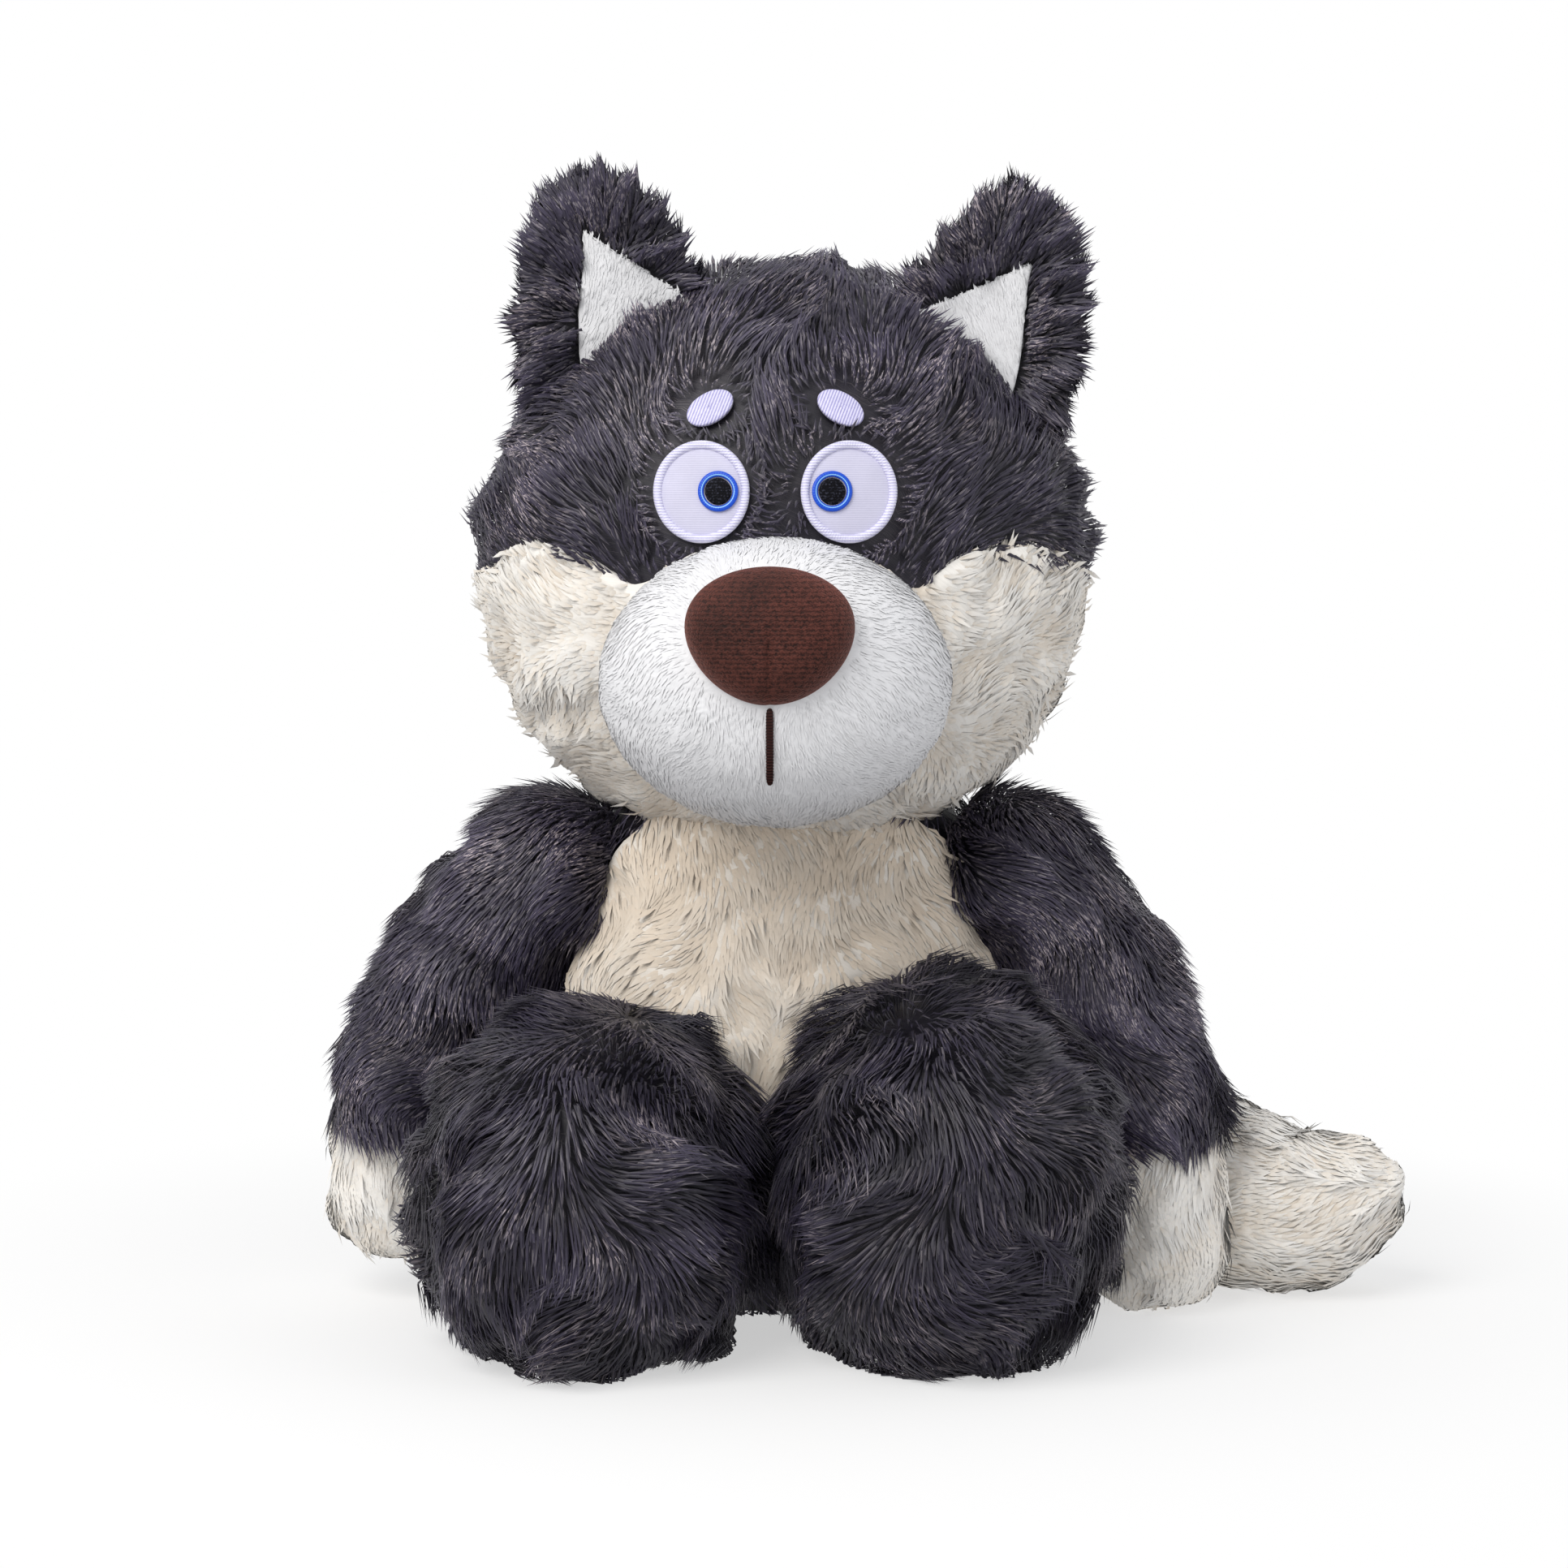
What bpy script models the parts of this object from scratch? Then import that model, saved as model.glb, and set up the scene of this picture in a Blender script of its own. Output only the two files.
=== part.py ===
"""Sitting plush husky: a stuffed toy dog, made as the sewn and stuffed pieces it is put together from.

The toy faces -Y, +Z is up and the flat underside of the torso lies on z = 0, with the origin on it.
Left and right are the toy's own, so its left arm and the end of its tail are at +X.
Each furry piece is a closed surface of rings of points, from which every second point is pulled out and
combed along the pile, so that the surface stands up in pointed locks of fur.
A piece that sits on another is cut by that one's own form, grown by the seam gap.
"""

import math

import bmesh
import bpy
import numpy as np

MM = 0.001

# Seams and fur
SEAM_GAP = 0.35 * MM
LOCK_HEIGHT = 7.0 * MM
LOCK_COMB = 5.0 * MM
LOCK_SWAY = 2.5 * MM
CREAM_LOCK_HEIGHT = 5.5 * MM
EAR_LOCK_HEIGHT = 6.0 * MM
POINT_SPACING = 15.4 * MM
EAR_POINT_SPACING = 11.2 * MM
LINING_POINT_SPACING = 15.0 * MM
FLOOR_CALM = 16.0 * MM
FACE_CALM = 16.0 * MM
MERGE_LENGTH = 0.02 * MM

# Torso, a pear that is widest low down and has a flat seat
TORSO_HALF_WIDTH = 88.0 * MM
TORSO_HALF_DEPTH = 65.0 * MM
TORSO_HEIGHT = 216.0 * MM
TORSO_WAIST_HEIGHT = 70.0 * MM
TORSO_LOWER_REACH = 95.0 * MM
TORSO_SET_BACK = 12.0 * MM
SEAT_SHARES = (0.0, 0.45, 0.8)

# Belly panel, an oval let into the front of the torso
BELLY_HALF_WIDTH = 75.0 * MM
BELLY_HALF_HEIGHT = 84.0 * MM
BELLY_HEIGHT = 108.0 * MM
BELLY_SWELL = 4.0 * MM
BELLY_COLUMNS = 28
BELLY_WINDOW_BACK = 0.2

# Head
HEAD_HALF_WIDTH = 105.0 * MM
HEAD_HALF_DEPTH = 80.0 * MM
HEAD_HALF_HEIGHT = 101.0 * MM
HEAD_HEIGHT = 264.0 * MM
HEAD_SET_FORWARD = 3.0 * MM
JOWL_FULLNESS = 0.05
CHEEK_TOP_DROP = 2.0 * MM
CHEEK_BACK = 16.0 * MM
CHEEK_CORNER = 40.0 * MM
FACE_TURN = 0.036

# Muzzle, nose and mouth
MUZZLE_HALF_WIDTH = 58.5 * MM
MUZZLE_HALF_HEIGHT = 48.0 * MM
MUZZLE_REACH = 50.0 * MM
MUZZLE_BACK = 20.0 * MM
MUZZLE_DROP = 39.5 * MM
MUZZLE_SEAT = 80.0 * MM
MUZZLE_BLUNTNESS = 0.9
MUZZLE_COLUMNS = 26
NOSE_HALF_WIDTH = 27.0 * MM
NOSE_HALF_HEIGHT = 22.3 * MM
NOSE_HALF_DEPTH = 17.0 * MM
NOSE_RISE = 17.0 * MM
NOSE_SINK = 1.0 * MM
NOSE_TAPER = 0.14
NOSE_BLUNTNESS = 0.8
NOSE_COLUMNS = 18
MOUTH_LENGTH = 25.0 * MM
MOUTH_WIDTH = 2.4 * MM
MOUTH_THICKNESS = 1.3 * MM
MOUTH_COLUMNS = 8

# Embroidered eyes and brows
EYE_HALF_WIDTH = 15.9 * MM
EYE_HALF_HEIGHT = 16.8 * MM
EYE_SPACING = 24.2 * MM
EYE_RISE = 23.2 * MM
EYE_RIM_WIDTH = 2.8 * MM
EYE_THICKNESS = 1.8 * MM
EYE_RIM_THICKNESS = 2.6 * MM
IRIS_OUTER = 6.6 * MM
IRIS_WIDTH = 1.9 * MM
IRIS_THICKNESS = 0.9 * MM
IRIS_MARGIN = 0.5 * MM
BROW_HALF_LENGTH = 7.9 * MM
BROW_HALF_HEIGHT = 4.7 * MM
BROW_SPACING = 21.6 * MM
BROW_RISE = 51.0 * MM
BROW_TILT = 24.0
BROW_THICKNESS = 1.8 * MM
EYE_COLUMNS = 18
RIM_COLUMNS = 22
RIM_SECTION_COUNT = 6
IRIS_COLUMNS = 14
PUPIL_COLUMNS = 12
BROW_COLUMNS = 10

# Ears, each upright on the front slope of the head, its outer edge steep and its inner edge slanting
EAR_HALF_WIDTH = 35.0 * MM
EAR_HALF_HEIGHT = 47.0 * MM
EAR_HALF_THICKNESS = 8.0 * MM
EAR_CUP = 9.0 * MM
EAR_TAPER = 0.4
EAR_SKEW = 5.5 * MM
EAR_FORWARD = 20.0 * MM
EAR_ROW_COUNT = 11
EAR_SQUARENESS = 0.85
LINING_HALF_WIDTH = 54.0 * MM
LINING_HALF_HEIGHT = 36.0 * MM
LINING_HALF_THICKNESS = 2.4 * MM
LINING_CUP = 3.0 * MM
LINING_PROUD = 3.5 * MM
LINING_TAPER = 0.95
LINING_SKEW = 25.6 * MM
LINING_SHIFT = 16.0 * MM
LINING_DROP = 5.0 * MM
RIGHT_EAR_INSET = 46.5 * MM
RIGHT_EAR_SINK = 19.0 * MM
RIGHT_EAR_LEAN = 1.0
LEFT_EAR_INSET = 36.0 * MM
LEFT_EAR_SINK = 25.0 * MM
LEFT_EAR_LEAN = 11.0

# Arms and hands: each arm hangs from its shoulder through the elbow to the cuff, where the hand begins
SHOULDER_HEIGHT = 166.0 * MM
SHOULDER_INSET = 28.0 * MM
ARM_HALF_WIDTH = 28.5 * MM
CUFF_HALF_WIDTH = 26.0 * MM
ARM_BULGE_OUT = 10.0 * MM
ARM_BULGE_UP = 6.0 * MM
HAND_HALF_WIDTH = 25.0 * MM
HAND_DROOP = 3.2
HAND_SWING = 0.06
RIGHT_CUFF_OUT = 133.5 * MM
RIGHT_CUFF_HEIGHT = 63.0 * MM
RIGHT_CUFF_FORWARD = -2.0 * MM
RIGHT_HAND_LENGTH = 48.0 * MM
LEFT_CUFF_OUT = 127.0 * MM
LEFT_CUFF_HEIGHT = 60.0 * MM
LEFT_CUFF_FORWARD = 17.0 * MM
LEFT_HAND_LENGTH = 60.0 * MM

# Legs, each with its big upright foot
LEGS_SHIFT = 5.0 * MM
LEG_SPACING = 57.5 * MM
HIP_SPACING = 44.0 * MM
HIP_HALF_WIDTH = 36.0 * MM
HIP_HEIGHT = 38.0 * MM
KNEE_RISE = 2.0 * MM
HEEL_DROP = 8.0 * MM
FOOT_HALF_WIDTH = 55.5 * MM
RIGHT_FOOT_HALF_HEIGHT = 63.0 * MM
LEFT_FOOT_HALF_HEIGHT = 67.0 * MM
FOOT_FRONT = 148.0 * MM
FOOT_LENGTH = 78.0 * MM
FOOT_SINK = 6.0 * MM
FOOT_BLUNTNESS = 0.5

# Tail, which curls from the back round the toy's left side
TAIL_HALF_WIDTH = 31.0 * MM
TAIL_ROOT_HALF_WIDTH = 25.0 * MM
TAIL_TIP_HALF_WIDTH = 26.0 * MM
TAIL_TIP_BLUNTNESS = 0.55
TAIL_ROOT_HEIGHT = 74.0 * MM
TAIL_ROOT_SINK = 19.5 * MM
TAIL_TIP_OUT = 208.0 * MM
TAIL_TIP_BACK = 10.0 * MM
TAIL_TIP_HEIGHT = 50.0 * MM
TAIL_BEND_OUT = 79.0 * MM
TAIL_BEND_BACK = 90.0 * MM
TAIL_REST_OUT = 154.0 * MM
TAIL_REST_BACK = 31.0 * MM
TAIL_REST_HEIGHT = 36.0 * MM


def clear_scene():
    for old in list(bpy.data.objects):
        bpy.data.objects.remove(old, do_unlink=True)


def fabric(name, colour, roughness, sheen):
    made = bpy.data.materials.new(name)
    made.use_nodes = True
    shader = made.node_tree.nodes["Principled BSDF"]
    shader.inputs["Base Color"].default_value = (*colour, 1.0)
    shader.inputs["Roughness"].default_value = roughness
    shader.inputs["Metallic"].default_value = 0.0
    shader.inputs["Sheen Weight"].default_value = sheen
    made.diffuse_color = (*colour, 1.0)
    return made


def all_fabrics():
    return {
        "dark_fur": fabric("dark_fur", (0.042, 0.036, 0.052), 0.85, 0.5),
        "cream_fur": fabric("cream_fur", (0.82, 0.76, 0.66), 0.9, 0.4),
        "white_pile": fabric("white_pile", (0.82, 0.82, 0.83), 0.7, 0.4),
        "nose_velour": fabric("nose_velour", (0.12, 0.035, 0.025), 0.8, 0.6),
        "mouth_thread": fabric("mouth_thread", (0.045, 0.015, 0.012), 0.55, 0.1),
        "eye_cloth": fabric("eye_cloth", (0.75, 0.73, 0.87), 0.7, 0.2),
        "rim_thread": fabric("rim_thread", (0.80, 0.78, 0.93), 0.4, 0.1),
        "iris_thread": fabric("iris_thread", (0.01, 0.11, 0.62), 0.4, 0.1),
        "pupil_thread": fabric("pupil_thread", (0.012, 0.013, 0.02), 0.5, 0.1),
    }


# Rings of points

def unit(vectors):
    """Each vector of an array at length one, and a zero vector left as it is."""
    length = np.linalg.norm(vectors, axis=-1, keepdims=True)
    return vectors / np.maximum(length, 1e-12)


def round_angles(columns):
    """Angles round a ring, half a step off, so that no point lies straight ahead of the middle."""
    return (np.arange(columns) + 0.5) * 2.0 * math.pi / columns


def even_columns(girth, spacing=POINT_SPACING):
    """An even number of columns, so that the locks alternate all the way round a girth."""
    return 2 * max(4, round(girth / spacing / 2.0))


def row_count(length):
    """How many rows of points a length of fur takes."""
    return max(3, round(length / POINT_SPACING))


def ring_stack(centres, sides, ups, widths, heights, columns):
    """Elliptical rings: centre, plus side by width times cosine, plus up by height times sine."""
    angles = round_angles(columns)
    across = widths[:, None] * np.cos(angles)
    along = heights[:, None] * np.sin(angles)
    return (centres[:, None, :] + sides[:, None, :] * across[:, :, None]
            + ups[:, None, :] * along[:, :, None])


def ring_normals(rings):
    """Outward normals, square to the ring and to the rows, and along the axis at the two poles."""
    around = np.roll(rings, -1, axis=1) - np.roll(rings, 1, axis=1)
    along = np.gradient(rings, axis=0)
    normals = unit(np.cross(around, along))
    middle = rings.mean(axis=(0, 1))
    if np.sum(normals[1:-1] * (rings[1:-1] - middle)) < 0.0:
        normals = -normals
    normals[0] = unit(rings[0, :1] - rings[1].mean(axis=0, keepdims=True))
    normals[-1] = unit(rings[-1, :1] - rings[-2].mean(axis=0, keepdims=True))
    return normals


def lock_pattern(rows, columns):
    """One where a point is the tip of a lock, as on the black fields of a chessboard, else nought."""
    row, column = np.indices((rows, columns))
    pattern = ((row + column) % 2 == 0).astype(float)
    pattern[0] = 0.0
    pattern[-1] = 0.0
    return pattern


def comb_locks(rings, height, calm, seed):
    """Pulls every second point out by the lock height and along the pile, each lock a little its own.

    Where the points crowd together towards a pole there is no room for locks, and they lie down.
    """
    rows, columns = rings.shape[:2]
    chance = np.random.default_rng(seed)
    beside = np.roll(rings, -1, axis=1)
    room = np.clip(np.linalg.norm(beside - rings, axis=2) / POINT_SPACING * 1.5, 0.0, 1.0)
    amount = lock_pattern(rows, columns) * chance.uniform(0.6, 1.0, (rows, columns)) * calm * room
    drift = unit(np.gradient(rings, axis=0))
    across = unit(beside - np.roll(rings, 1, axis=1))
    lift = ring_normals(rings) * (amount * height)[:, :, None]
    comb = drift * (amount * LOCK_COMB * chance.uniform(0.3, 1.0, (rows, columns)))[:, :, None]
    sway = across * (amount * LOCK_SWAY * chance.uniform(-1.0, 1.0, (rows, columns)))[:, :, None]
    return rings + lift + comb + sway


def floor_calm(rings):
    """Nought on the floor, rising to one at the height where the locks stand up fully."""
    return np.clip(rings[:, :, 2] / FLOOR_CALM - 0.4, 0.0, 1.0)


def on_floor(rings):
    """What would hang below the floor is pressed flat on it, as the stuffing gives way."""
    pressed = rings.copy()
    pressed[:, :, 2] = np.maximum(pressed[:, :, 2], 0.0)
    return pressed


def rings_to_mesh(name, rings):
    """Joins rings to a closed mesh, the first and last ring each being one pole."""
    rows, columns = rings.shape[:2]
    inner = rings[1:-1].reshape(-1, 3)
    points = np.vstack([rings[0, :1], inner, rings[-1, :1]])
    last = len(points) - 1
    faces = []
    for column in range(columns):
        beside = (column + 1) % columns
        faces.append((0, 1 + column, 1 + beside))
        faces.append((last, last - columns + beside, last - columns + column))
    for row in range(rows - 3):
        for column in range(columns):
            beside = (column + 1) % columns
            a = 1 + row * columns + column
            b = 1 + row * columns + beside
            c = a + columns
            d = b + columns
            # The fold runs between the two low points, so that each lock is a small pyramid
            if (row + 1 + column) % 2 == 0:
                faces.extend([(a, c, b), (b, c, d)])
            else:
                faces.extend([(a, c, d), (a, d, b)])
    mesh = bpy.data.meshes.new(name)
    mesh.from_pydata(points.tolist(), [], faces)
    work = bmesh.new()
    work.from_mesh(mesh)
    bmesh.ops.recalc_face_normals(work, faces=work.faces)
    work.to_mesh(mesh)
    work.free()
    return mesh


def grown(mesh, distance):
    """A copy of a closed mesh with every point moved out along its normal."""
    copy = mesh.copy()
    points = np.empty(len(copy.vertices) * 3)
    normals = np.empty(len(copy.vertices) * 3)
    copy.vertices.foreach_get("co", points)
    copy.vertex_normals.foreach_get("vector", normals)
    copy.vertices.foreach_set("co", points + normals * distance)
    copy.update()
    return copy


# Solids and cuts

def add_object(name, mesh):
    made = bpy.data.objects.new(name, mesh)
    bpy.context.scene.collection.objects.link(made)
    return made


def largest_body(mesh):
    """Merges points that fell together and keeps the largest of the bodies that a cut left."""
    work = bmesh.new()
    work.from_mesh(mesh)
    bmesh.ops.remove_doubles(work, verts=work.verts, dist=MERGE_LENGTH)
    bmesh.ops.dissolve_degenerate(work, edges=work.edges, dist=MERGE_LENGTH)
    waiting = set(work.verts)
    bodies = []
    while waiting:
        start = waiting.pop()
        body = {start}
        front = [start]
        while front:
            for edge in front.pop().link_edges:
                for other in edge.verts:
                    if other in waiting:
                        waiting.remove(other)
                        body.add(other)
                        front.append(other)
        bodies.append(body)
    bodies.sort(key=len)
    bmesh.ops.delete(work, geom=[vert for body in bodies[:-1] for vert in body], context="VERTS")
    bmesh.ops.triangulate(work, faces=work.faces)
    work.to_mesh(mesh)
    work.free()


def carve(name, mesh, keep_inside=(), cut_away=()):
    """The part of a solid inside every keep shape and outside every grown cut shape."""
    body = add_object(name, mesh.copy())
    tools = []
    for operation, shapes in (("INTERSECT", keep_inside), ("DIFFERENCE", cut_away)):
        for shape in shapes:
            tool = add_object(name + "_tool", shape)
            tool.hide_render = True
            tool.display_type = "WIRE"
            cut = body.modifiers.new(operation.lower(), "BOOLEAN")
            cut.operation = operation
            cut.solver = "EXACT"
            cut.object = tool
            tools.append(tool)
    seen = body.evaluated_get(bpy.context.evaluated_depsgraph_get())
    result = bpy.data.meshes.new_from_object(seen)
    for tool in tools:
        bpy.data.objects.remove(tool, do_unlink=True)
    bpy.data.objects.remove(body, do_unlink=True)
    largest_body(result)
    result.name = name
    return result


def finish(name, mesh, material, smooth=False):
    """One named piece of the toy, with its own fabric."""
    made = add_object(name, mesh)
    made.data.materials.clear()
    made.data.materials.append(material)
    if smooth:
        made.data.shade_smooth()
        made.data.set_sharp_from_angle(angle=math.radians(50.0))
    return made


# Torso and belly

def torso_rings(swell):
    """Rings of a pear: an ellipse above and one below the waist height, and a flat seat."""
    girth = 2.0 * math.pi * (TORSO_HALF_WIDTH + TORSO_HALF_DEPTH) / 2.0
    columns = even_columns(girth)
    upper = TORSO_HEIGHT - TORSO_WAIST_HEIGHT
    lowest = -math.asin(min(TORSO_WAIST_HEIGHT / TORSO_LOWER_REACH, 1.0))
    turns = np.linspace(lowest, math.pi / 2.0, row_count(1.2 * TORSO_HEIGHT))
    reach = np.where(turns < 0.0, TORSO_LOWER_REACH, upper)
    heights = TORSO_WAIST_HEIGHT + reach * np.sin(turns)
    widths = (TORSO_HALF_WIDTH + swell) * np.cos(turns)
    depths = (TORSO_HALF_DEPTH + swell) * np.cos(turns)
    seat = np.array(SEAT_SHARES)
    heights = np.concatenate([np.zeros(len(seat)), heights])
    depths = np.concatenate([seat * depths[0], depths])
    widths = np.concatenate([seat * widths[0], widths])
    widths[-1] = 0.0
    depths[-1] = 0.0
    centres = np.zeros((len(heights), 3))
    centres[:, 1] = TORSO_SET_BACK
    centres[:, 2] = heights
    sides = np.tile([1.0, 0.0, 0.0], (len(heights), 1))
    ups = np.tile([0.0, 1.0, 0.0], (len(heights), 1))
    return ring_stack(centres, sides, ups, widths, depths, columns)


def torso_form(swell, lock_height, seed):
    rings = torso_rings(swell)[::-1]
    return rings_to_mesh("torso_form", on_floor(comb_locks(rings, lock_height, floor_calm(rings), seed)))


def belly_window(grow):
    """An oval bar along Y that marks out the belly panel, from in front of the torso to its middle."""
    columns = BELLY_COLUMNS
    angles = round_angles(columns)
    front = TORSO_SET_BACK - 2.0 * TORSO_HALF_DEPTH
    back = TORSO_SET_BACK - BELLY_WINDOW_BACK * TORSO_HALF_DEPTH + grow
    across = (BELLY_HALF_WIDTH + grow) * np.cos(angles)
    above = BELLY_HEIGHT + (BELLY_HALF_HEIGHT + grow) * np.sin(angles)
    rings = np.empty((4, columns, 3))
    for row, (share, depth) in enumerate(((0.0, front), (1.0, front), (1.0, back), (0.0, back))):
        rings[row, :, 0] = across * share
        rings[row, :, 1] = depth
        rings[row, :, 2] = BELLY_HEIGHT + (above - BELLY_HEIGHT) * share
    return rings_to_mesh("belly_window", rings)


# Head

def head_middle():
    return np.array([0.0, -HEAD_SET_FORWARD, HEAD_HEIGHT])


def head_rings():
    """Rings of an ellipsoid from the crown down to the chin, fuller at the jowls."""
    columns = even_columns(2.0 * math.pi * (HEAD_HALF_WIDTH + HEAD_HALF_DEPTH) / 2.0)
    meridian = math.pi * (HEAD_HALF_HEIGHT + HEAD_HALF_DEPTH) / 2.0
    turns = np.linspace(math.pi / 2.0, -math.pi / 2.0, row_count(meridian))
    fullness = 1.0 - JOWL_FULLNESS * np.sin(turns)
    widths = HEAD_HALF_WIDTH * np.cos(turns) * fullness
    depths = HEAD_HALF_DEPTH * np.cos(turns)
    widths[[0, -1]] = 0.0
    depths[[0, -1]] = 0.0
    centres = np.tile(head_middle(), (len(turns), 1))
    centres[:, 2] += HEAD_HALF_HEIGHT * np.sin(turns)
    sides = np.tile([1.0, 0.0, 0.0], (len(turns), 1))
    ups = np.tile([0.0, 1.0, 0.0], (len(turns), 1))
    return ring_stack(centres, sides, ups, widths, depths, columns)


def head_form():
    """The whole head with its locks, which lie down round the eyes and brows."""
    rings = head_rings()
    calm = np.ones(rings.shape[:2])
    stitched = [(side * EYE_SPACING, EYE_RISE, EYE_HALF_HEIGHT) for side in (-1.0, 1.0)]
    stitched += [(side * BROW_SPACING, BROW_RISE, BROW_HALF_LENGTH) for side in (-1.0, 1.0)]
    for across, above, size in stitched:
        distance = np.linalg.norm(rings - face_point(across, above, 0.0), axis=2)
        calm *= np.clip((distance - size) / FACE_CALM - 0.5, 0.0, 1.0)
    return rings_to_mesh("head_form", comb_locks(rings, LOCK_HEIGHT, calm, 11))


def face_shift(forward):
    """How far the turn of the head moves a point of the face sideways, by its distance in front."""
    return -FACE_TURN * forward


def face_point(across, above, proud):
    """A point on the front of the head, at offsets from its middle, proud of the surface by so much."""
    across = np.asarray(across, dtype=float) + face_shift(HEAD_HALF_DEPTH)
    above = np.asarray(above, dtype=float)
    tall = HEAD_HALF_HEIGHT
    wide = HEAD_HALF_WIDTH * (1.0 - JOWL_FULLNESS * above / tall)
    inside = np.maximum(1.0 - (across / wide) ** 2 - (above / tall) ** 2, 0.02)
    ahead = HEAD_HALF_DEPTH * np.sqrt(inside)
    place = np.stack(np.broadcast_arrays(across, -ahead, above), axis=-1)
    normal = unit(place / np.array([HEAD_HALF_WIDTH ** 2, HEAD_HALF_DEPTH ** 2, tall ** 2]))
    return head_middle() + place + normal * np.asarray(proud)[..., None]


def cheek_block(grow):
    """The room of the cream cheeks: below the eyes and in front of the ears, with a round back corner."""
    top = HEAD_HEIGHT - CHEEK_TOP_DROP + grow
    back = CHEEK_BACK + grow
    corner = CHEEK_CORNER
    low = HEAD_HEIGHT - 2.0 * HEAD_HALF_HEIGHT
    front = -3.0 * HEAD_HALF_DEPTH
    side = 2.0 * HEAD_HALF_WIDTH
    turns = np.linspace(0.0, math.pi / 2.0, 7)
    outline = [(front, low), (front, top)]
    outline += [(back - corner + corner * math.sin(t), top - corner + corner * math.cos(t)) for t in turns]
    outline.append((back, low))
    work = bmesh.new()
    ends = []
    for across in (-side, side):
        ends.append([work.verts.new((across, along, above)) for along, above in outline])
    count = len(outline)
    for index in range(count):
        after = (index + 1) % count
        work.faces.new((ends[0][index], ends[0][after], ends[1][after], ends[1][index]))
    work.faces.new(ends[0])
    work.faces.new(ends[1][::-1])
    bmesh.ops.recalc_face_normals(work, faces=work.faces)
    mesh = bpy.data.meshes.new("cheek_block")
    work.to_mesh(mesh)
    work.free()
    return mesh


def half_space(side, gap, across=0.0):
    """A block that holds everything on one side of an upright plane, less half the gap."""
    reach = 4.0 * HEAD_HALF_WIDTH
    work = bmesh.new()
    bmesh.ops.create_cube(work, size=2.0 * reach)
    mesh = bpy.data.meshes.new("half_space")
    bmesh.ops.translate(work, verts=work.verts, vec=(across + side * (reach + gap / 2.0), 0.0, HEAD_HEIGHT))
    work.to_mesh(mesh)
    work.free()
    return mesh


# Muzzle, nose and mouth

def muzzle_middle():
    forward = MUZZLE_SEAT
    return head_middle() + np.array([face_shift(forward), -forward, -MUZZLE_DROP])


def muzzle_form():
    """A dome: rings from the tip back to the widest outline, then quickly in to the flat back."""
    turns = np.concatenate([np.linspace(-math.pi / 2.0, 0.0, 8), np.linspace(0.0, math.pi / 2.0, 4)[1:]])
    reach = np.where(turns < 0.0, MUZZLE_REACH, MUZZLE_BACK)
    centres = np.tile(muzzle_middle(), (len(turns), 1))
    centres[:, 1] += reach * np.sin(turns)
    share = np.maximum(np.cos(turns), 0.0) ** MUZZLE_BLUNTNESS
    share[[0, -1]] = 0.0
    sides = np.tile([1.0, 0.0, 0.0], (len(turns), 1))
    ups = np.tile([0.0, 0.0, 1.0], (len(turns), 1))
    rings = ring_stack(centres, sides, ups, MUZZLE_HALF_WIDTH * share, MUZZLE_HALF_HEIGHT * share,
                       MUZZLE_COLUMNS)
    return rings_to_mesh("muzzle_form", rings)


def muzzle_front(above):
    """How far forward the muzzle's surface lies on its middle line, at a height over its middle."""
    level = np.abs(above / MUZZLE_HALF_HEIGHT) ** (2.0 / MUZZLE_BLUNTNESS)
    return muzzle_middle()[1] - MUZZLE_REACH * np.sqrt(np.clip(1.0 - level, 0.0, 1.0))


def nose_middle():
    ahead = muzzle_front(NOSE_RISE) + NOSE_SINK
    middle = muzzle_middle()
    forward = -ahead - HEAD_SET_FORWARD
    return np.array([face_shift(forward), ahead, middle[2] + NOSE_RISE])


def nose_form():
    """A rounded nose pad, wider at the top than at the bottom."""
    turns = np.linspace(-math.pi / 2.0, math.pi / 2.0, 11)
    centres = np.tile(nose_middle(), (len(turns), 1))
    centres[:, 1] += NOSE_HALF_DEPTH * np.sin(turns)
    share = np.maximum(np.cos(turns), 0.0) ** NOSE_BLUNTNESS
    share[[0, -1]] = 0.0
    sides = np.tile([1.0, 0.0, 0.0], (len(turns), 1))
    ups = np.tile([0.0, 0.0, 1.0], (len(turns), 1))
    rings = ring_stack(centres, sides, ups, NOSE_HALF_WIDTH * share, NOSE_HALF_HEIGHT * share,
                       NOSE_COLUMNS)
    level = (rings[:, :, 2] - nose_middle()[2]) / NOSE_HALF_HEIGHT
    rings[:, :, 0] = nose_middle()[0] + (rings[:, :, 0] - nose_middle()[0]) * (1.0 + NOSE_TAPER * level)
    return rings_to_mesh("nose_form", rings)


def mouth_form():
    """One raised row of satin stitch, straight down the muzzle from under the nose."""
    top = NOSE_RISE - NOSE_HALF_HEIGHT - SEAM_GAP
    levels = top - MOUTH_LENGTH * np.array([0.0, 0.03, 0.12, 0.31, 0.5, 0.69, 0.88, 0.97, 1.0])
    sizes = np.array([0.0, 0.7, 1.0, 1.0, 1.0, 1.0, 1.0, 0.7, 0.0])
    centres = np.empty((len(levels), 3))
    centres[:, 0] = nose_middle()[0]
    centres[:, 1] = muzzle_front(levels)
    centres[:, 2] = muzzle_middle()[2] + levels
    sides = np.tile([1.0, 0.0, 0.0], (len(levels), 1))
    outward = -unit(np.cross(np.gradient(centres, axis=0), sides))
    outward *= -np.sign(outward[:, 1:2])
    centres += outward * (SEAM_GAP + MOUTH_THICKNESS / 2.0)
    rings = ring_stack(centres, sides, outward, sizes * MOUTH_WIDTH / 2.0, sizes * MOUTH_THICKNESS / 2.0,
                       MOUTH_COLUMNS)
    return rings_to_mesh("mouth_form", rings)


# Embroidery on the face

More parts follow.
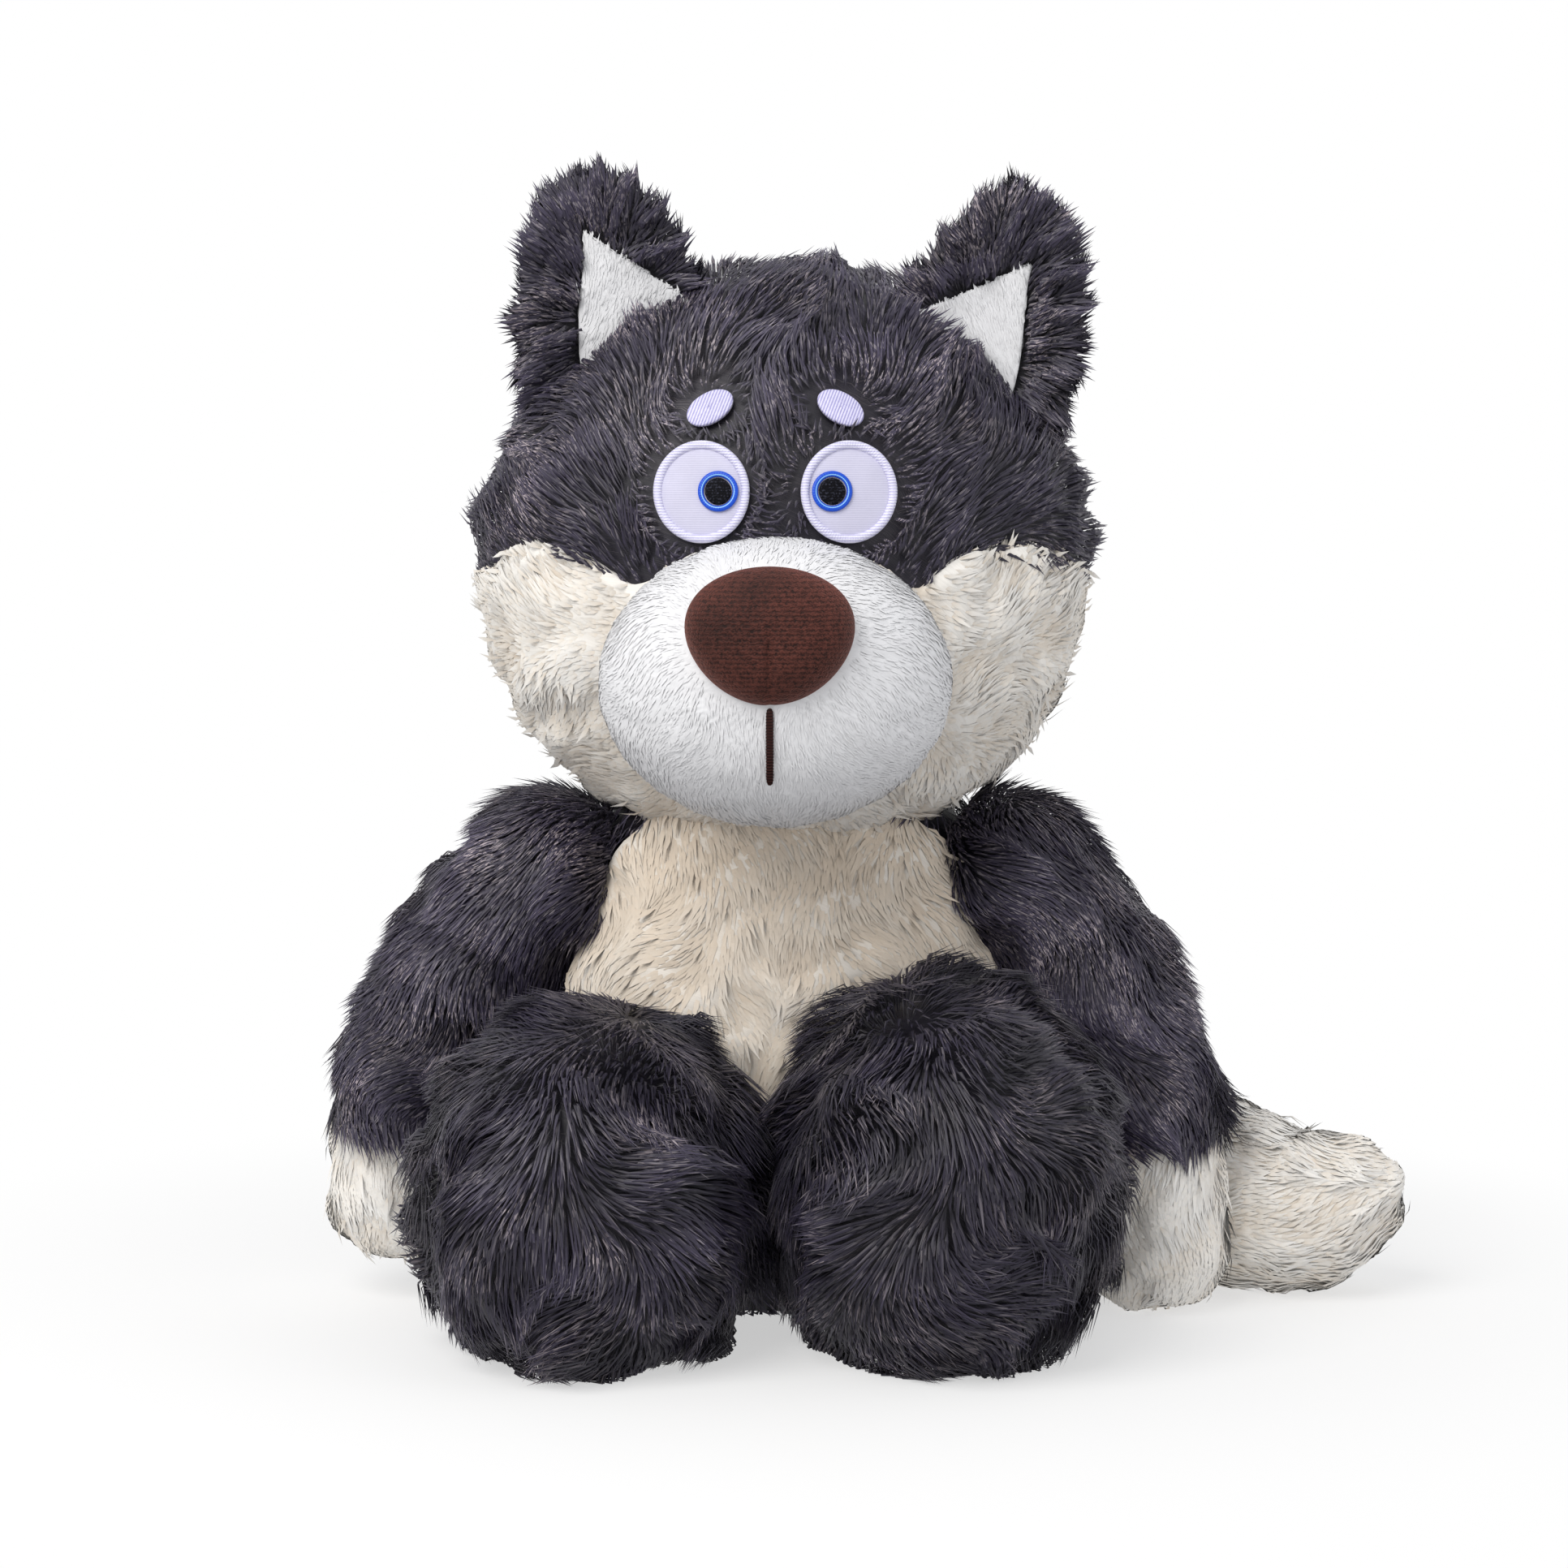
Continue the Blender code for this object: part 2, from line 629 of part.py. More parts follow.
def face_patch(name, across, above, half_width, half_height, tilt, thickness, under, columns):
    """An oval pad with a flat back and a softly rounded front, which follows the curve of the face."""
    share = np.array([0.0, 0.55, 0.85, 0.97, 1.0, 0.9, 0.0])
    rise = np.array([1.0, 0.96, 0.82, 0.6, 0.3, 0.0, 0.0])
    angles = round_angles(columns)
    reach = np.multiply.outer(share, np.cos(angles)) * half_width
    climb = np.multiply.outer(share, np.sin(angles)) * half_height
    cosine = math.cos(tilt)
    sine = math.sin(tilt)
    proud = under + thickness * rise[:, None] + np.zeros(columns)[None, :]
    rings = face_point(across + reach * cosine - climb * sine, above + reach * sine + climb * cosine, proud)
    return rings_to_mesh(name, rings)


def face_ring(name, across, above, half_width, half_height, band, thickness, under, columns):
    """A raised round of satin stitch: a ring of oval section that follows the curve of the face."""
    sections = RIM_SECTION_COUNT
    proud = under + thickness / 2.0
    around = np.arange(columns) * 2.0 * math.pi / columns
    section = (np.arange(sections) + 0.5) * 2.0 * math.pi / sections
    inset = band / 2.0 * (1.0 - np.cos(section))
    reach = np.multiply.outer(np.cos(around), half_width - inset)
    climb = np.multiply.outer(np.sin(around), half_height - inset)
    rise = np.broadcast_to(proud + thickness / 2.0 * np.sin(section), reach.shape)
    points = face_point(across + reach, above + climb, rise)
    faces = []
    for column in range(columns):
        for part in range(sections):
            beside = (column + 1) % columns
            after = (part + 1) % sections
            faces.append((column * sections + part, column * sections + after,
                          beside * sections + after, beside * sections + part))
    mesh = bpy.data.meshes.new(name)
    mesh.from_pydata(points.reshape(-1, 3).tolist(), [], faces)
    work = bmesh.new()
    work.from_mesh(mesh)
    bmesh.ops.triangulate(work, faces=work.faces)
    bmesh.ops.recalc_face_normals(work, faces=work.faces)
    work.to_mesh(mesh)
    work.free()
    return mesh


def eye_forms(side):
    """The cloth, the satin rim, the iris ring and the pupil of one eye, and the brow above it."""
    across = side * EYE_SPACING
    inner_width = EYE_HALF_WIDTH - EYE_RIM_WIDTH - SEAM_GAP
    inner_height = EYE_HALF_HEIGHT - EYE_RIM_WIDTH - SEAM_GAP
    iris_across = across - side * (inner_width - IRIS_OUTER - IRIS_MARGIN)
    pupil = IRIS_OUTER - IRIS_WIDTH - SEAM_GAP
    on_cloth = SEAM_GAP + EYE_THICKNESS + SEAM_GAP
    return {
        "eye_cloth": face_patch("eye_cloth", across, EYE_RISE, inner_width, inner_height,
                                0.0, EYE_THICKNESS, SEAM_GAP, EYE_COLUMNS),
        "eye_rim": face_ring("eye_rim", across, EYE_RISE, EYE_HALF_WIDTH, EYE_HALF_HEIGHT,
                             EYE_RIM_WIDTH, EYE_RIM_THICKNESS, SEAM_GAP, RIM_COLUMNS),
        "iris_ring": face_ring("iris_ring", iris_across, EYE_RISE, IRIS_OUTER, IRIS_OUTER,
                               IRIS_WIDTH, IRIS_THICKNESS, on_cloth, IRIS_COLUMNS),
        "pupil": face_patch("pupil", iris_across, EYE_RISE, pupil, pupil,
                            0.0, IRIS_THICKNESS, on_cloth, PUPIL_COLUMNS),
        "brow": face_patch("brow", side * BROW_SPACING, BROW_RISE, BROW_HALF_LENGTH, BROW_HALF_HEIGHT,
                           -side * math.radians(BROW_TILT), BROW_THICKNESS, SEAM_GAP, BROW_COLUMNS),
    }


def eye_room(side):
    """The room of a whole eye, which the pile of the muzzle keeps clear of."""
    deep = 2.0 * EYE_RIM_THICKNESS
    return face_patch("eye_room", side * EYE_SPACING, EYE_RISE, EYE_HALF_WIDTH + SEAM_GAP,
                      EYE_HALF_HEIGHT + SEAM_GAP, 0.0, 2.0 * deep, -deep, RIM_COLUMNS)


# Ears

def ear_pad(name, middle, half_width, half_height, half_thickness, cup, taper, skew, lean,
            spacing, lock_height, seed):
    """A cupped pad: an oval outline with full shoulders, tapered and skewed sideways towards its top.

    Rows run from the middle of the front, out over the rim and in to the middle of the back.
    """
    columns = even_columns(math.pi * (half_width + half_height), spacing)
    turns = np.linspace(0.0, math.pi, EAR_ROW_COUNT)
    angles = round_angles(columns)
    share = np.sin(turns) ** 0.8
    share[[0, -1]] = 0.0
    wide = np.sign(np.cos(angles)) * np.abs(np.cos(angles)) ** EAR_SQUARENESS * half_width
    tall = np.sign(np.sin(angles)) * np.abs(np.sin(angles)) ** EAR_SQUARENESS * half_height
    wide = wide * (1.0 - taper * (tall / half_height + 1.0) / 2.0) + skew * tall / half_height
    across = np.multiply.outer(share, wide)
    above = np.multiply.outer(share, tall)
    depth = cup * (1.0 - share[:, None] ** 2) - np.cos(turns)[:, None] * half_thickness
    depth = np.broadcast_to(depth, across.shape)
    cosine = math.cos(lean)
    sine = math.sin(lean)
    rings = np.stack([across * cosine + above * sine, depth, above * cosine - across * sine], axis=-1)
    rings = rings + middle
    calm = np.clip(np.linspace(-0.6, 2.0, len(turns)), 0.0, 1.0)[:, None]
    return rings_to_mesh(name, comb_locks(rings, lock_height, np.broadcast_to(calm, across.shape), seed))


def ear_forms(side):
    """The dark back of one ear and the white lining in its hollow front."""
    spacing = HEAD_HALF_WIDTH - (LEFT_EAR_INSET if side > 0 else RIGHT_EAR_INSET)
    rise = HEAD_HALF_HEIGHT - (LEFT_EAR_SINK if side > 0 else RIGHT_EAR_SINK)
    lean = math.radians(LEFT_EAR_LEAN if side > 0 else RIGHT_EAR_LEAN) * side
    middle = head_middle() + np.array([side * spacing, -EAR_FORWARD, rise])
    hollow = np.array([-side * LINING_SHIFT, -LINING_PROUD, -LINING_DROP])
    return {
        "ear": ear_pad("ear", middle, EAR_HALF_WIDTH, EAR_HALF_HEIGHT, EAR_HALF_THICKNESS,
                       EAR_CUP, EAR_TAPER, side * EAR_SKEW, lean, EAR_POINT_SPACING,
                       EAR_LOCK_HEIGHT, 31 if side > 0 else 32),
        "lining": ear_pad("lining", middle + hollow, LINING_HALF_WIDTH, LINING_HALF_HEIGHT,
                          LINING_HALF_THICKNESS, LINING_CUP, LINING_TAPER, side * LINING_SKEW, lean,
                          LINING_POINT_SPACING, 0.0, 33),
    }


# Arms, legs and tail

def through_four(points, shares):
    """A cubic curve that passes through four points at shares 0, 1/3, 2/3 and 1 of its way."""
    first, second, third, fourth = (np.asarray(point, dtype=float) for point in points)
    t = np.asarray(shares)[:, None]
    return (first * (1 - 3 * t) * (2 - 3 * t) * (1 - t) / 2.0
            + second * 9 * t * (2 - 3 * t) * (1 - t) / 2.0
            + third * 9 * t * (3 * t - 1) * (1 - t) / 2.0
            + fourth * t * (3 * t - 1) * (3 * t - 2) / 2.0)


def stuffed_tube(path, shares, widths, heights, reference, columns):
    """Oval rings square to a path, the side of each ring being square to a reference direction too."""
    centres = through_four(path, shares)
    step = 0.01
    ahead = through_four(path, np.asarray(shares) + step)
    behind = through_four(path, np.asarray(shares) - step)
    travel = unit(ahead - behind)
    sides = unit(np.cross(travel, np.asarray(reference, dtype=float)))
    ups = np.cross(sides, travel)
    return ring_stack(centres, sides, ups, widths, heights, columns)


def arm_path(side):
    """Shoulder, two points of the bend and the cuff of one arm, as its stuffing's middle line."""
    out = LEFT_CUFF_OUT if side > 0 else RIGHT_CUFF_OUT
    low = LEFT_CUFF_HEIGHT if side > 0 else RIGHT_CUFF_HEIGHT
    forward = LEFT_CUFF_FORWARD if side > 0 else RIGHT_CUFF_FORWARD
    start = np.array([side * (TORSO_HALF_WIDTH - SHOULDER_INSET), 0.0, SHOULDER_HEIGHT])
    end = np.array([side * out, -forward, low])
    bulge = np.array([side * ARM_BULGE_OUT, 0.0, ARM_BULGE_UP])
    return [start, start + (end - start) / 3.0 + bulge, start + (end - start) * 2.0 / 3.0 + bulge, end]


def arm_form(side):
    """From a round shoulder to a flat cuff."""
    turns = np.linspace(0.0, math.pi / 2.0, 5)
    shares = np.concatenate([0.16 * (1.0 - np.cos(turns)), np.linspace(0.27, 1.0, 9), [1.0, 1.0]])
    full = ARM_HALF_WIDTH + (CUFF_HALF_WIDTH - ARM_HALF_WIDTH) * shares
    sizes = np.concatenate([np.sin(turns) * full[:5], full[5:14], [full[-1] * 0.5, 0.0]])
    columns = even_columns(2.0 * math.pi * ARM_HALF_WIDTH)
    rings = stuffed_tube(arm_path(side), shares, sizes, sizes, (0.0, 1.0, 0.0), columns)
    calm = np.ones(rings.shape[:2])
    calm[-4:] = 0.0
    return rings_to_mesh("arm_form", on_floor(comb_locks(rings, LOCK_HEIGHT, calm, 41 if side > 0 else 42)))


def hand_form(side):
    """From the flat cuff, past the seam gap, to round fingertips that hang or rest on the floor."""
    path = arm_path(side)
    length = LEFT_HAND_LENGTH if side > 0 else RIGHT_HAND_LENGTH
    down = unit((path[3] - path[2]))
    droop = unit(down + np.array([0.0, 0.0, -HAND_DROOP]))
    first = path[3] + down * SEAM_GAP
    last = first + droop * length
    swing = down * length * HAND_SWING
    line = [first, first + (last - first) / 3.0 + swing, first + (last - first) * 2.0 / 3.0 + swing, last]
    turns = np.linspace(0.0, math.pi / 2.0, 6)
    shares = np.concatenate([[0.0, 0.0, 0.0, 0.18, 0.36], 0.52 + 0.48 * np.sin(turns)])
    full = CUFF_HALF_WIDTH + (HAND_HALF_WIDTH - CUFF_HALF_WIDTH) * shares
    round_off = np.concatenate([[0.0, 0.5, 1.0, 1.0, 1.0], np.cos(turns)])
    round_off[-1] = 0.0
    sizes = full * round_off
    columns = even_columns(2.0 * math.pi * HAND_HALF_WIDTH)
    rings = stuffed_tube(line, shares, sizes, sizes, (0.0, 1.0, 0.0), columns)
    rings[:3] = rings[2:3].mean(axis=1, keepdims=True) + (stuffed_tube(
        path, np.ones(3), sizes[:3], sizes[:3], (0.0, 1.0, 0.0), columns) - path[3])
    calm = floor_calm(rings)
    calm[:4] = 0.0
    combed = comb_locks(rings, CREAM_LOCK_HEIGHT, calm, 43 if side > 0 else 44)
    return rings_to_mesh("hand_form", on_floor(combed))


def leg_form(side):
    """A short leg lying on the floor that swells into a tall round foot facing forward."""
    tall = LEFT_FOOT_HALF_HEIGHT if side > 0 else RIGHT_FOOT_HALF_HEIGHT
    heel = -FOOT_FRONT + FOOT_LENGTH
    path = [(side * HIP_SPACING, 0.0, HIP_HEIGHT),
            (side * (HIP_SPACING + LEG_SPACING) / 2.0, heel * 0.5, HIP_HEIGHT + KNEE_RISE),
            (side * LEG_SPACING - LEGS_SHIFT, heel, tall - FOOT_SINK - HEEL_DROP),
            (side * LEG_SPACING - LEGS_SHIFT, -FOOT_FRONT, tall - FOOT_SINK)]
    turns = np.linspace(0.0, math.pi / 2.0, 7)
    shares = np.concatenate([[0.0, 0.0], np.linspace(0.08, 0.62, 7), 0.68 + 0.32 * np.sin(turns)])
    swell = np.clip((shares - 0.25) / 0.45, 0.0, 1.0)
    swell = swell * swell * (3.0 - 2.0 * swell)
    round_off = np.concatenate([[0.0, 0.7], np.ones(7), np.cos(turns) ** FOOT_BLUNTNESS])
    round_off[-1] = 0.0
    widths = (HIP_HALF_WIDTH + (FOOT_HALF_WIDTH - HIP_HALF_WIDTH) * swell) * round_off
    heights = (HIP_HEIGHT + (tall - HIP_HEIGHT) * swell) * round_off
    columns = even_columns(2.0 * math.pi * FOOT_HALF_WIDTH)
    rings = stuffed_tube(path, shares, widths, heights, (0.0, 0.0, 1.0), columns)
    combed = comb_locks(rings, LOCK_HEIGHT, floor_calm(rings), 51 if side > 0 else 52)
    return rings_to_mesh("leg_form", on_floor(combed))


def tail_form():
    """A thick tail from the back, down to the floor beside the toy and up again at its tip."""
    path = [(0.0, TORSO_SET_BACK + TORSO_HALF_DEPTH - TAIL_ROOT_SINK, TAIL_ROOT_HEIGHT),
            (TAIL_BEND_OUT, TAIL_BEND_BACK, TAIL_ROOT_HEIGHT),
            (TAIL_REST_OUT, TAIL_REST_BACK, TAIL_REST_HEIGHT),
            (TAIL_TIP_OUT, TAIL_TIP_BACK, TAIL_TIP_HEIGHT)]
    turns = np.linspace(0.0, math.pi / 2.0, 6)
    shares = np.concatenate([[0.0, 0.0], np.linspace(0.06, 0.8, 13), 0.85 + 0.15 * np.sin(turns)])
    round_off = np.concatenate([[0.0, 0.6], np.ones(13), np.cos(turns) ** TAIL_TIP_BLUNTNESS])
    round_off[-1] = 0.0
    thick = np.interp(shares, [0.0, 0.55, 0.72, 1.0],
                      [TAIL_ROOT_HALF_WIDTH, TAIL_HALF_WIDTH, TAIL_HALF_WIDTH, TAIL_TIP_HALF_WIDTH])
    sizes = thick * round_off
    columns = even_columns(2.0 * math.pi * TAIL_HALF_WIDTH)
    rings = stuffed_tube(path, shares, sizes, sizes, (0.0, 0.0, 1.0), columns)
    combed = comb_locks(rings, CREAM_LOCK_HEIGHT, floor_calm(rings), 61)
    return rings_to_mesh("tail_form", on_floor(combed))


def build():
    clear_scene()
    cloth = all_fabrics()
    torso = torso_form(0.0, LOCK_HEIGHT, 21)
    belly = carve("belly", torso_form(BELLY_SWELL, CREAM_LOCK_HEIGHT, 22), keep_inside=[belly_window(0.0)])
    head = head_form()
    muzzle = muzzle_form()
    nose = nose_form()
    mouth = mouth_form()
    head_room = grown(head, SEAM_GAP)
    torso_room = grown(torso, SEAM_GAP)
    belly_room = grown(belly, SEAM_GAP)

    torso_cut = carve("torso", torso, cut_away=[belly_window(SEAM_GAP), head_room.copy()])
    finish("torso", torso_cut, cloth["dark_fur"])
    belly_cut = carve("belly_panel", belly, cut_away=[head_room.copy()])
    finish("belly_panel", belly_cut, cloth["cream_fur"])

    eye_rooms = []
    for name, side in (("left", 1.0), ("right", -1.0)):
        stitched = eye_forms(side)
        eye_rooms.append(eye_room(side))
        finish(name + "_eye_cloth", stitched["eye_cloth"], cloth["eye_cloth"], smooth=True)
        finish(name + "_eye_rim", stitched["eye_rim"], cloth["rim_thread"], smooth=True)
        finish(name + "_iris_ring", stitched["iris_ring"], cloth["iris_thread"], smooth=True)
        finish(name + "_pupil", stitched["pupil"], cloth["pupil_thread"], smooth=True)
        finish(name + "_brow", stitched["brow"], cloth["rim_thread"], smooth=True)

    muzzle_room = grown(muzzle, SEAM_GAP)
    crown_cut = carve("head_crown", head, cut_away=[cheek_block(SEAM_GAP), muzzle_room.copy()])
    finish("head_crown", crown_cut, cloth["dark_fur"])
    for name, side in (("left", 1.0), ("right", -1.0)):
        cheek = carve("cheek", head, keep_inside=[cheek_block(0.0), half_space(side, SEAM_GAP)],
                      cut_away=[muzzle_room.copy()])
        finish(name + "_cheek", cheek, cloth["cream_fur"])
    muzzle_cut = carve("muzzle", muzzle, cut_away=[grown(nose, SEAM_GAP)] + eye_rooms)
    finish("muzzle", muzzle_cut, cloth["white_pile"], smooth=True)
    finish("nose", nose, cloth["nose_velour"], smooth=True)
    mouth_cut = carve("mouth_stitch", mouth, cut_away=[grown(nose, SEAM_GAP)])
    finish("mouth_stitch", mouth_cut, cloth["mouth_thread"], smooth=True)

    for name, side in (("left", 1.0), ("right", -1.0)):
        forms = ear_forms(side)
        ear = carve("ear", forms["ear"], cut_away=[grown(forms["lining"], SEAM_GAP), head_room.copy()])
        finish(name + "_ear", ear, cloth["dark_fur"])
        lining = carve("lining", forms["lining"], cut_away=[head_room.copy()])
        finish(name + "_ear_lining", lining, cloth["white_pile"], smooth=True)

    legs = {}
    for name, side in (("left", 1.0), ("right", -1.0)):
        middle_wall = half_space(-side, -SEAM_GAP, -LEGS_SHIFT)
        leg = carve("leg", leg_form(side), cut_away=[torso_room.copy(), belly_room.copy(), middle_wall])
        finish(name + "_leg", leg, cloth["dark_fur"])
        legs[name] = grown(leg, SEAM_GAP)

    arm_rooms = []
    for name, side in (("left", 1.0), ("right", -1.0)):
        around = [torso_room, belly_room, head_room, legs["left"], legs["right"]]
        arm = carve("arm", arm_form(side), cut_away=[room.copy() for room in around])
        finish(name + "_arm", arm, cloth["dark_fur"])
        arm_room = grown(arm, SEAM_GAP)
        around = [torso_room, legs["left"], legs["right"], arm_room]
        hand = carve("hand", hand_form(side), cut_away=[room.copy() for room in around])
        finish(name + "_hand", hand, cloth["cream_fur"])
        arm_rooms += [arm_room, grown(hand, SEAM_GAP)]
    tail = carve("tail", tail_form(), cut_away=[torso_room.copy()] + arm_rooms)
    finish("tail", tail, cloth["cream_fur"])


build()
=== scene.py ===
import math

import bpy
import numpy as np
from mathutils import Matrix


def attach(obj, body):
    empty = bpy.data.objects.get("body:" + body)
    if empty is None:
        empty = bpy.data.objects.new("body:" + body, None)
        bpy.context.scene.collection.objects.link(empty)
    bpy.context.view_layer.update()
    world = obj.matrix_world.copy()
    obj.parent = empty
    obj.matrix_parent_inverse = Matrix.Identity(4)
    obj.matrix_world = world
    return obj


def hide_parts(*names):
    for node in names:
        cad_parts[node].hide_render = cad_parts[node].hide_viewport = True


# The toy faces -Y. Left and right are its own, so its left arm and the end of its tail are at +X.

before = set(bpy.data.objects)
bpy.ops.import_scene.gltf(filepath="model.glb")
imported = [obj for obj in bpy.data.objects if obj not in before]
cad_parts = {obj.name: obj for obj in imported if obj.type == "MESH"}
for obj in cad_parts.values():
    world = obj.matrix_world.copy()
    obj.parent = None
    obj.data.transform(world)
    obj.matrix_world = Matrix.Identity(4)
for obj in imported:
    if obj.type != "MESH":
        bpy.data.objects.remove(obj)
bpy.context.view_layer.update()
mm = 0.001
density = 1.0  # share of the fur that is made
leftSide, rightSide = 1.0, -1.0
sides = (("left", leftSide), ("right", rightSide))


# Small tools for whole arrays

def unit(vectors):
    # each vector divided by its own length
    return vectors / np.maximum(np.linalg.norm(vectors, axis=-1, keepdims=True), 1e-12)


def stack(x, y, z):
    # three arrays of one shape, joined to points
    return np.stack(np.broadcast_arrays(x, y, z), axis=-1)


def climb(low, high, value):
    # nought to one as value goes from low to high
    return np.clip((value - low) / (high - low), 0.0, 1.0)


def smooth(low, high, value):
    # 3t^2 - 2t^3 as value goes from low to high
    t = climb(low, high, value)
    return t * t * (3.0 - 2.0 * t)


def grown(least, low, high, value):
    # least as long as value is below low, then smoothly up to one at high
    return least + (1.0 - least) * smooth(low, high, value)


def waves(points, size, seed, count=14):
    # Smooth noise about -1 to 1 with its slope: the sum of cosine waves in random directions, all about size
    # long
    chance = np.random.default_rng(seed)
    heading = unit(chance.normal(size=(count, 3)))
    heading = heading * 2.0 * math.pi / (size * chance.uniform(0.7, 1.4, (count, 1)))
    turns = points @ heading.T + chance.uniform(0.0, 2.0 * math.pi, count)
    scale = math.sqrt(1.0 / count)
    return np.cos(turns).sum(axis=-1) * scale, -(np.sin(turns) @ heading) * scale


def along(tangent, normal):
    # the part of a direction that lies in the surface, at length one
    return unit(tangent - normal * (tangent * normal).sum(axis=-1, keepdims=True))


def meshPiece(name, node, points, triangles, cloth, uvs=None, fill=None, shading=None):
    # Puts points, triangles and one map place for each point into a new smooth object on body "root", for one
    # solid's node. Where shading normals are given, the light falls on the piece as it would on a soft pile
    material, slot = cloth
    uvs = np.full((len(points), 2), 0.5) if uvs is None else uvs
    mesh = bpy.data.meshes.new(name)
    mesh.vertices.add(len(points))
    mesh.vertices.foreach_set("co", np.ascontiguousarray(points, dtype=np.float32).ravel())
    mesh.loops.add(len(triangles) * 3)
    mesh.loops.foreach_set("vertex_index", triangles.astype(np.int32).ravel())
    mesh.polygons.add(len(triangles))
    mesh.polygons.foreach_set("loop_start", np.arange(0, len(triangles) * 3, 3, dtype=np.int32))
    mesh.update(calc_edges=True)
    mesh.polygons.foreach_set("use_smooth", np.ones(len(triangles), dtype=bool))
    layer = mesh.uv_layers.new(name="OFBake")
    layer.data.foreach_set("uv", uvs[triangles.ravel()].astype(np.float32).ravel())
    mesh.materials.append(material)
    if shading is not None:
        mesh.normals_split_custom_set_from_vertices(shading.astype(np.float32))
    piece = bpy.data.objects.new(name, mesh)
    bpy.context.scene.collection.objects.link(piece)
    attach(piece, "root")
    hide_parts(node)
    print(name, len(triangles), "triangles")


def ringTriangles(rows, columns):
    # triangles of rings of points, numbered from 1, with a fan from point 0 to the first ring
    column = np.arange(columns)
    beside = (column + 1) % columns
    row = np.arange(rows - 1)[:, None] * columns + 1
    a, b = (row + column).ravel(), (row + beside).ravel()
    c, d = a + columns, b + columns
    return np.vstack([np.stack([np.zeros(columns, int), 1 + column, 1 + beside], axis=1),
                      np.stack([a, c, b], axis=1), np.stack([b, c, d], axis=1)])


def squareTriangles(a, b, c, d):
    # two triangles for each square of point numbers, with a beside b and c beside d
    a, b, c, d = a.ravel(), b.ravel(), c.ravel(), d.ravel()
    return np.vstack([np.stack([a, b, c], axis=1), np.stack([b, d, c], axis=1)])


def roundGrid(form, rows, columns):
    # A closed skin, as points and triangles: rings of the form from its first pole (v = 0) to its last
    u = np.arange(columns) / columns
    v = np.linspace(0.0, 1.0, rows)
    rings = form(u[None, :], v[1:-1, None])
    first = form(u, np.zeros(columns)).mean(axis=0)
    last = form(u, np.ones(columns)).mean(axis=0)
    points = np.vstack([first[None, :], rings.reshape(-1, 3), last[None, :]])
    end = len(points) - 1
    ring = end - columns + np.arange(columns)
    cap = np.stack([np.full(columns, end), np.roll(ring, -1), ring], axis=1)
    return points, facedOut(points, np.vstack([ringTriangles(rows - 2, columns), cap]))


def pointNormals(points, triangles):
    # the sum of the normals of the triangles that meet in each point, at length one
    a, b, c = (points[triangles[:, corner]] for corner in range(3))
    face = np.cross(b - a, c - a)
    total = np.zeros_like(points)
    for axis in range(3):
        for corner in range(3):
            total[:, axis] += np.bincount(triangles[:, corner], face[:, axis], len(points))
    return unit(total)


def facedOut(points, triangles):
    # turns all the triangles of a closed body round if its volume comes out below nought
    a, b, c = (points[triangles[:, corner]] for corner in range(3))
    volume = (np.cross(a, b) * c).sum()
    return triangles if volume > 0.0 else triangles[:, ::-1]


def padGrid(outer, inner):
    # A closed pad from two sheets of points of one shape, (rows, columns, 3), joined round their rim
    rows, columns = outer.shape[:2]
    number = np.arange(rows * columns).reshape(rows, columns)
    top = squareTriangles(number[:-1, :-1], number[:-1, 1:], number[1:, :-1], number[1:, 1:])
    away = rows * columns
    rim = np.concatenate([number[0, :-1], number[:-1, -1], number[-1, :0:-1], number[:0:-1, 0]])
    after = np.roll(rim, -1)
    wall = np.vstack([np.stack([rim, after + away, after], axis=1),
                      np.stack([rim, rim + away, after + away], axis=1)])
    points = np.vstack([outer.reshape(-1, 3), inner.reshape(-1, 3)])
    return points, facedOut(points, np.vstack([top, top[:, ::-1] + away, wall]))


def discPad(outer, inner):
    # A closed round pad from two sheets of rings of points (rows, columns, 3), each with a middle point,
    # joined round their rim. The last column repeats the first
    outer, inner = outer[:, :-1], inner[:, :-1]
    rows, columns = outer.shape[:2]
    points = np.vstack([outer[:1].mean(axis=1), outer.reshape(-1, 3),
                        inner[:1].mean(axis=1), inner.reshape(-1, 3)])
    face = ringTriangles(rows, columns)
    away = rows * columns + 1
    edge = 1 + (rows - 1) * columns + np.arange(columns)
    after = np.roll(edge, -1)
    wall = np.vstack([np.stack([edge, edge + away, after], axis=1),
                      np.stack([after, edge + away, after + away], axis=1)])
    return points, facedOut(points, np.vstack([face, face[:, ::-1] + away, wall]))


# Fur

